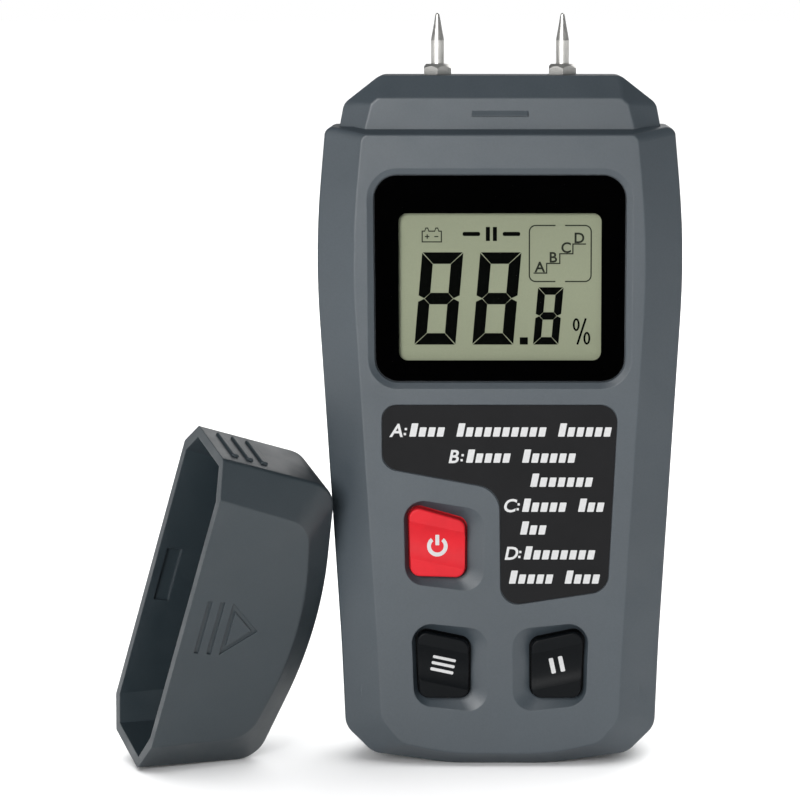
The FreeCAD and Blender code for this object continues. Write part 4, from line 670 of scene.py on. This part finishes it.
# Rows of the panel from the top: the row's middle, from 0 at the panel's foot to 1 at its top; its letter or
# None; its left end; and the lengths of its words, in cells
PANEL_ROWS = (
    (0.877, "A", -19.3, (4, 10, 6)),
    (0.746, "B", -9.2, (5, 6)),
    (0.625, None, 5.2, (7,)),
    (0.499, "C", 0.8, (5, 3)),
    (0.384, None, 3.4, (3,)),
    (0.258, "D", 1.1, (8,)),
    (0.135, None, 1.4, (5, 4)),
)
CELL_MM = 1.62
WORD_GAP_MM = 1.9
PANEL_TEXT_TALL = 2.4
INK_SHEAR = 0.2
BLOCK_LEFT, BLOCK_RIGHT_GAP, BLOCK_ROUND, LOW_BLOCK = 0.18, 0.26, 0.12, 0.7
LETTER_MIDDLE, LETTER_WIDE, LETTER_BOLD = 0.8, 2.1, 0.07
COLON_WIDE, DOT_SIZE, DOT_ROUND, DOT_LEVELS = 0.85, 0.42, 0.05, (0.25, 1.15)
PANEL_INK_THICK = 0.02


def word_blocks(x, z, cells):
    """Slanted blocks, one to a letter cell and the first one tall, that stand for a printed word."""
    loops = []
    for i in range(cells):
        rise = PANEL_TEXT_TALL if i == 0 else PANEL_TEXT_TALL * LOW_BLOCK
        block = bar(BLOCK_LEFT, CELL_MM - BLOCK_RIGHT_GAP, 0.0, rise, BLOCK_ROUND)
        loops.append(moved(block, x + i * CELL_MM, z, 0, INK_SHEAR))
    return loops


def panel_print():
    loops, letters = [], []
    for place, letter, x, words in PANEL_ROWS:
        z = PANEL_LOW.z + (PANEL_HIGH.z - PANEL_LOW.z) * place - PANEL_TEXT_TALL / 2
        if letter is not None:
            letters.append((letter, x + LETTER_MIDDLE, z, PANEL_TEXT_TALL, LETTER_BOLD, INK_SHEAR))
            x += LETTER_WIDE
            for level in DOT_LEVELS:
                dot = bar(0, DOT_SIZE, 0, DOT_SIZE, DOT_ROUND)
                loops.append(moved(dot, x + level * INK_SHEAR, z + level))
            x += COLON_WIDE
        for cells in words:
            loops += word_blocks(x, z, cells)
            x += cells * CELL_MM + WORD_GAP_MM
    piece = plate("panel_print", loops, WHITE_INK, PANEL_LOW.y, PANEL_INK_THICK, letters)
    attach(piece, "case")


# ---------------------------------------------------------------- marks on the keys

KEY_INK_THICK = 0.04
# the two lower keys lean outwards by this many degrees
KEY_TILT = 12.0
# the power sign's middle is this far below the key's
POWER_LOWER = 0.6
POWER_RADIUS, POWER_LINE, POWER_OPENING = 1.85, 0.7, 38
POWER_BAR_FROM, POWER_BAR_PAST, POWER_BAR_ROUND = 0.15, 0.25, 0.12
MENU_HALF, MENU_LINE_HALF, MENU_PITCH, MENU_ROUND = 2.1, 0.27, 1.15, 0.2
PAUSE_HALF_WIDE, PAUSE_HALF_TALL, PAUSE_AT, PAUSE_ROUND = 0.4, 1.45, 0.85, 0.2


def key_middle(name):
    low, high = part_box(f"{name}_key")
    return (low.x + high.x) / 2 / MM, (low.z + high.z) / 2 / MM


def on_key(name, loops):
    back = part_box(f"{name}_key")[0].y / MM
    piece = plate(f"{name}_key_mark", loops, KEY_INK, back, KEY_INK_THICK)
    wrap(piece, f"{name}_key")
    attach(piece, f"{name}_key")


def power_mark():
    """A circle, open at its top, with a short bar in the opening."""
    x, z = key_middle("power")
    z -= POWER_LOWER
    start, end = 90 + POWER_OPENING, 450 - POWER_OPENING
    outside, inside = (arc(r, start, end, 30) for r in (POWER_RADIUS, POWER_RADIUS - POWER_LINE))
    top = POWER_RADIUS + POWER_BAR_PAST
    upright = bar(-POWER_LINE / 2, POWER_LINE / 2, POWER_BAR_FROM, top, POWER_BAR_ROUND)
    on_key("power", [moved(outside + inside[::-1], x, z), moved(upright, x, z)])


def mode_mark():
    """Three bars of a menu sign."""
    x, z = key_middle("mode")
    loops = []
    for v in (-MENU_PITCH, 0.0, MENU_PITCH):
        line = bar(-MENU_HALF, MENU_HALF, v - MENU_LINE_HALF, v + MENU_LINE_HALF, MENU_ROUND)
        loops.append(moved(line, x, z, -KEY_TILT))
    on_key("mode", loops)


def hold_mark():
    """Two bars of a pause sign."""
    x, z = key_middle("hold")
    loops = []
    for u in (-PAUSE_AT, PAUSE_AT):
        line = bar(u - PAUSE_HALF_WIDE, u + PAUSE_HALF_WIDE, -PAUSE_HALF_TALL, PAUSE_HALF_TALL, PAUSE_ROUND)
        loops.append(moved(line, x, z, KEY_TILT))
    on_key("hold", loops)


# ---------------------------------------------------------------- studio

# seen from just above the pins' tips, looking down, with the meter right of the picture's middle
CAMERA_Y, CAMERA_Z = -0.5, 0.136
CAMERA_PITCH = math.radians(8.0)
CAMERA_LENS = 125.0
FRAME_SHIFT = -0.125
# what the lamps point at
MIDDLE = Vector((0.0, 0.0, 0.065))
FLOOR_HALF = 30.0
# the floor's colour in the light that it throws on the object
FLOOR_BOUNCE = (0.22, 0.22, 0.22)
FLOOR_LIGHT_ANGLE, FLOOR_LIGHT = math.radians(90), 3.5
FRONT_LAMP = {"place": (-0.44, -1.16, 0.40), "size": 0.75, "energy": 13.0}
BACK_LAMP = {"place": (0.5, 1.1, 0.9), "size": 1.3, "energy": 8.0}
ROOM_COLOUR, ROOM_STRENGTH = (0.94, 0.97, 1.0, 1.0), 0.18
WHITE = (1.0, 1.0, 1.0, 1.0)


def floor_material():
    """Pale and even; its bounced light is dim, so that it doesn't light the object from below."""
    shader = Shader("floor")
    cloud = shader.noise(400, 2)
    white = shader.ramp(cloud, (0.3, (0.91, 0.91, 0.91)), (0.7, (0.93, 0.93, 0.93)))
    bounced = shader.node("ShaderNodeLightPath").outputs["Is Diffuse Ray"]
    shader.set(base_color=shader.mix(bounced, white, FLOOR_BOUNCE),
               roughness=0.7, specular_ior_level=0.05)
    return shader.material


def floor():
    mesh = bpy.data.meshes.new("floor")
    size = FLOOR_HALF
    corners = [(-size, -size, 0), (size, -size, 0), (size, size, 0), (-size, size, 0)]
    mesh.from_pydata(corners, [], [(0, 1, 2, 3)])
    mesh.materials.append(floor_material())
    plane = bpy.data.objects.new("floor", mesh)
    bpy.context.scene.collection.objects.link(plane)
    # one wide lamp lights the floor alone, so that it stays white right to the horizon
    only_floor = bpy.data.collections.new("only_floor")
    only_floor.objects.link(plane)
    data = bpy.data.lights.new("floor_light", "SUN")
    data.angle = FLOOR_LIGHT_ANGLE
    data.energy = FLOOR_LIGHT
    light = bpy.data.objects.new("floor_light", data)
    light.light_linking.receiver_collection = only_floor
    bpy.context.scene.collection.objects.link(light)


def lamp(name, place, size, energy):
    data = bpy.data.lights.new(name, "AREA")
    data.shape = "DISK"
    data.size = size
    data.energy = energy
    light = bpy.data.objects.new(name, data)
    light.location = place
    light.rotation_euler = (MIDDLE - Vector(place)).to_track_quat("-Z", "Y").to_euler()
    bpy.context.scene.collection.objects.link(light)


def surround():
    """White behind the meter, and a dim room for everything that the lamps and the meter see."""
    world = bpy.data.worlds.new("studio")
    world.use_nodes = True
    nodes, links = world.node_tree.nodes, world.node_tree.links
    backdrop = nodes["Background"]
    backdrop.inputs["Color"].default_value = WHITE
    backdrop.inputs["Strength"].default_value = 1.0
    room = nodes.new("ShaderNodeBackground")
    room.inputs["Color"].default_value = ROOM_COLOUR
    room.inputs["Strength"].default_value = ROOM_STRENGTH
    path = nodes.new("ShaderNodeLightPath")
    blend = nodes.new("ShaderNodeMixShader")
    links.new(path.outputs["Is Camera Ray"], blend.inputs[0])
    links.new(room.outputs[0], blend.inputs[1])
    links.new(backdrop.outputs[0], blend.inputs[2])
    links.new(blend.outputs[0], nodes["World Output"].inputs["Surface"])
    bpy.context.scene.world = world


def studio():
    surround()
    lamp("front_light", **FRONT_LAMP)
    lamp("back_light", **BACK_LAMP)


def camera():
    data = bpy.data.cameras.new("camera")
    data.sensor_width = 36.0
    data.lens = CAMERA_LENS
    data.shift_x = FRAME_SHIFT
    data.clip_start = 0.01
    holder = bpy.data.objects.new("camera", data)
    holder.location = (0.0, CAMERA_Y, CAMERA_Z)
    holder.rotation_euler = (math.pi / 2 - CAMERA_PITCH, 0, 0)
    bpy.context.scene.collection.objects.link(holder)
    bpy.context.scene.camera = holder


window()
display()
panel_print()
power_mark()
mode_mark()
hold_mark()
floor()
studio()
camera()
bpy.context.scene.view_settings.view_transform = "Standard"
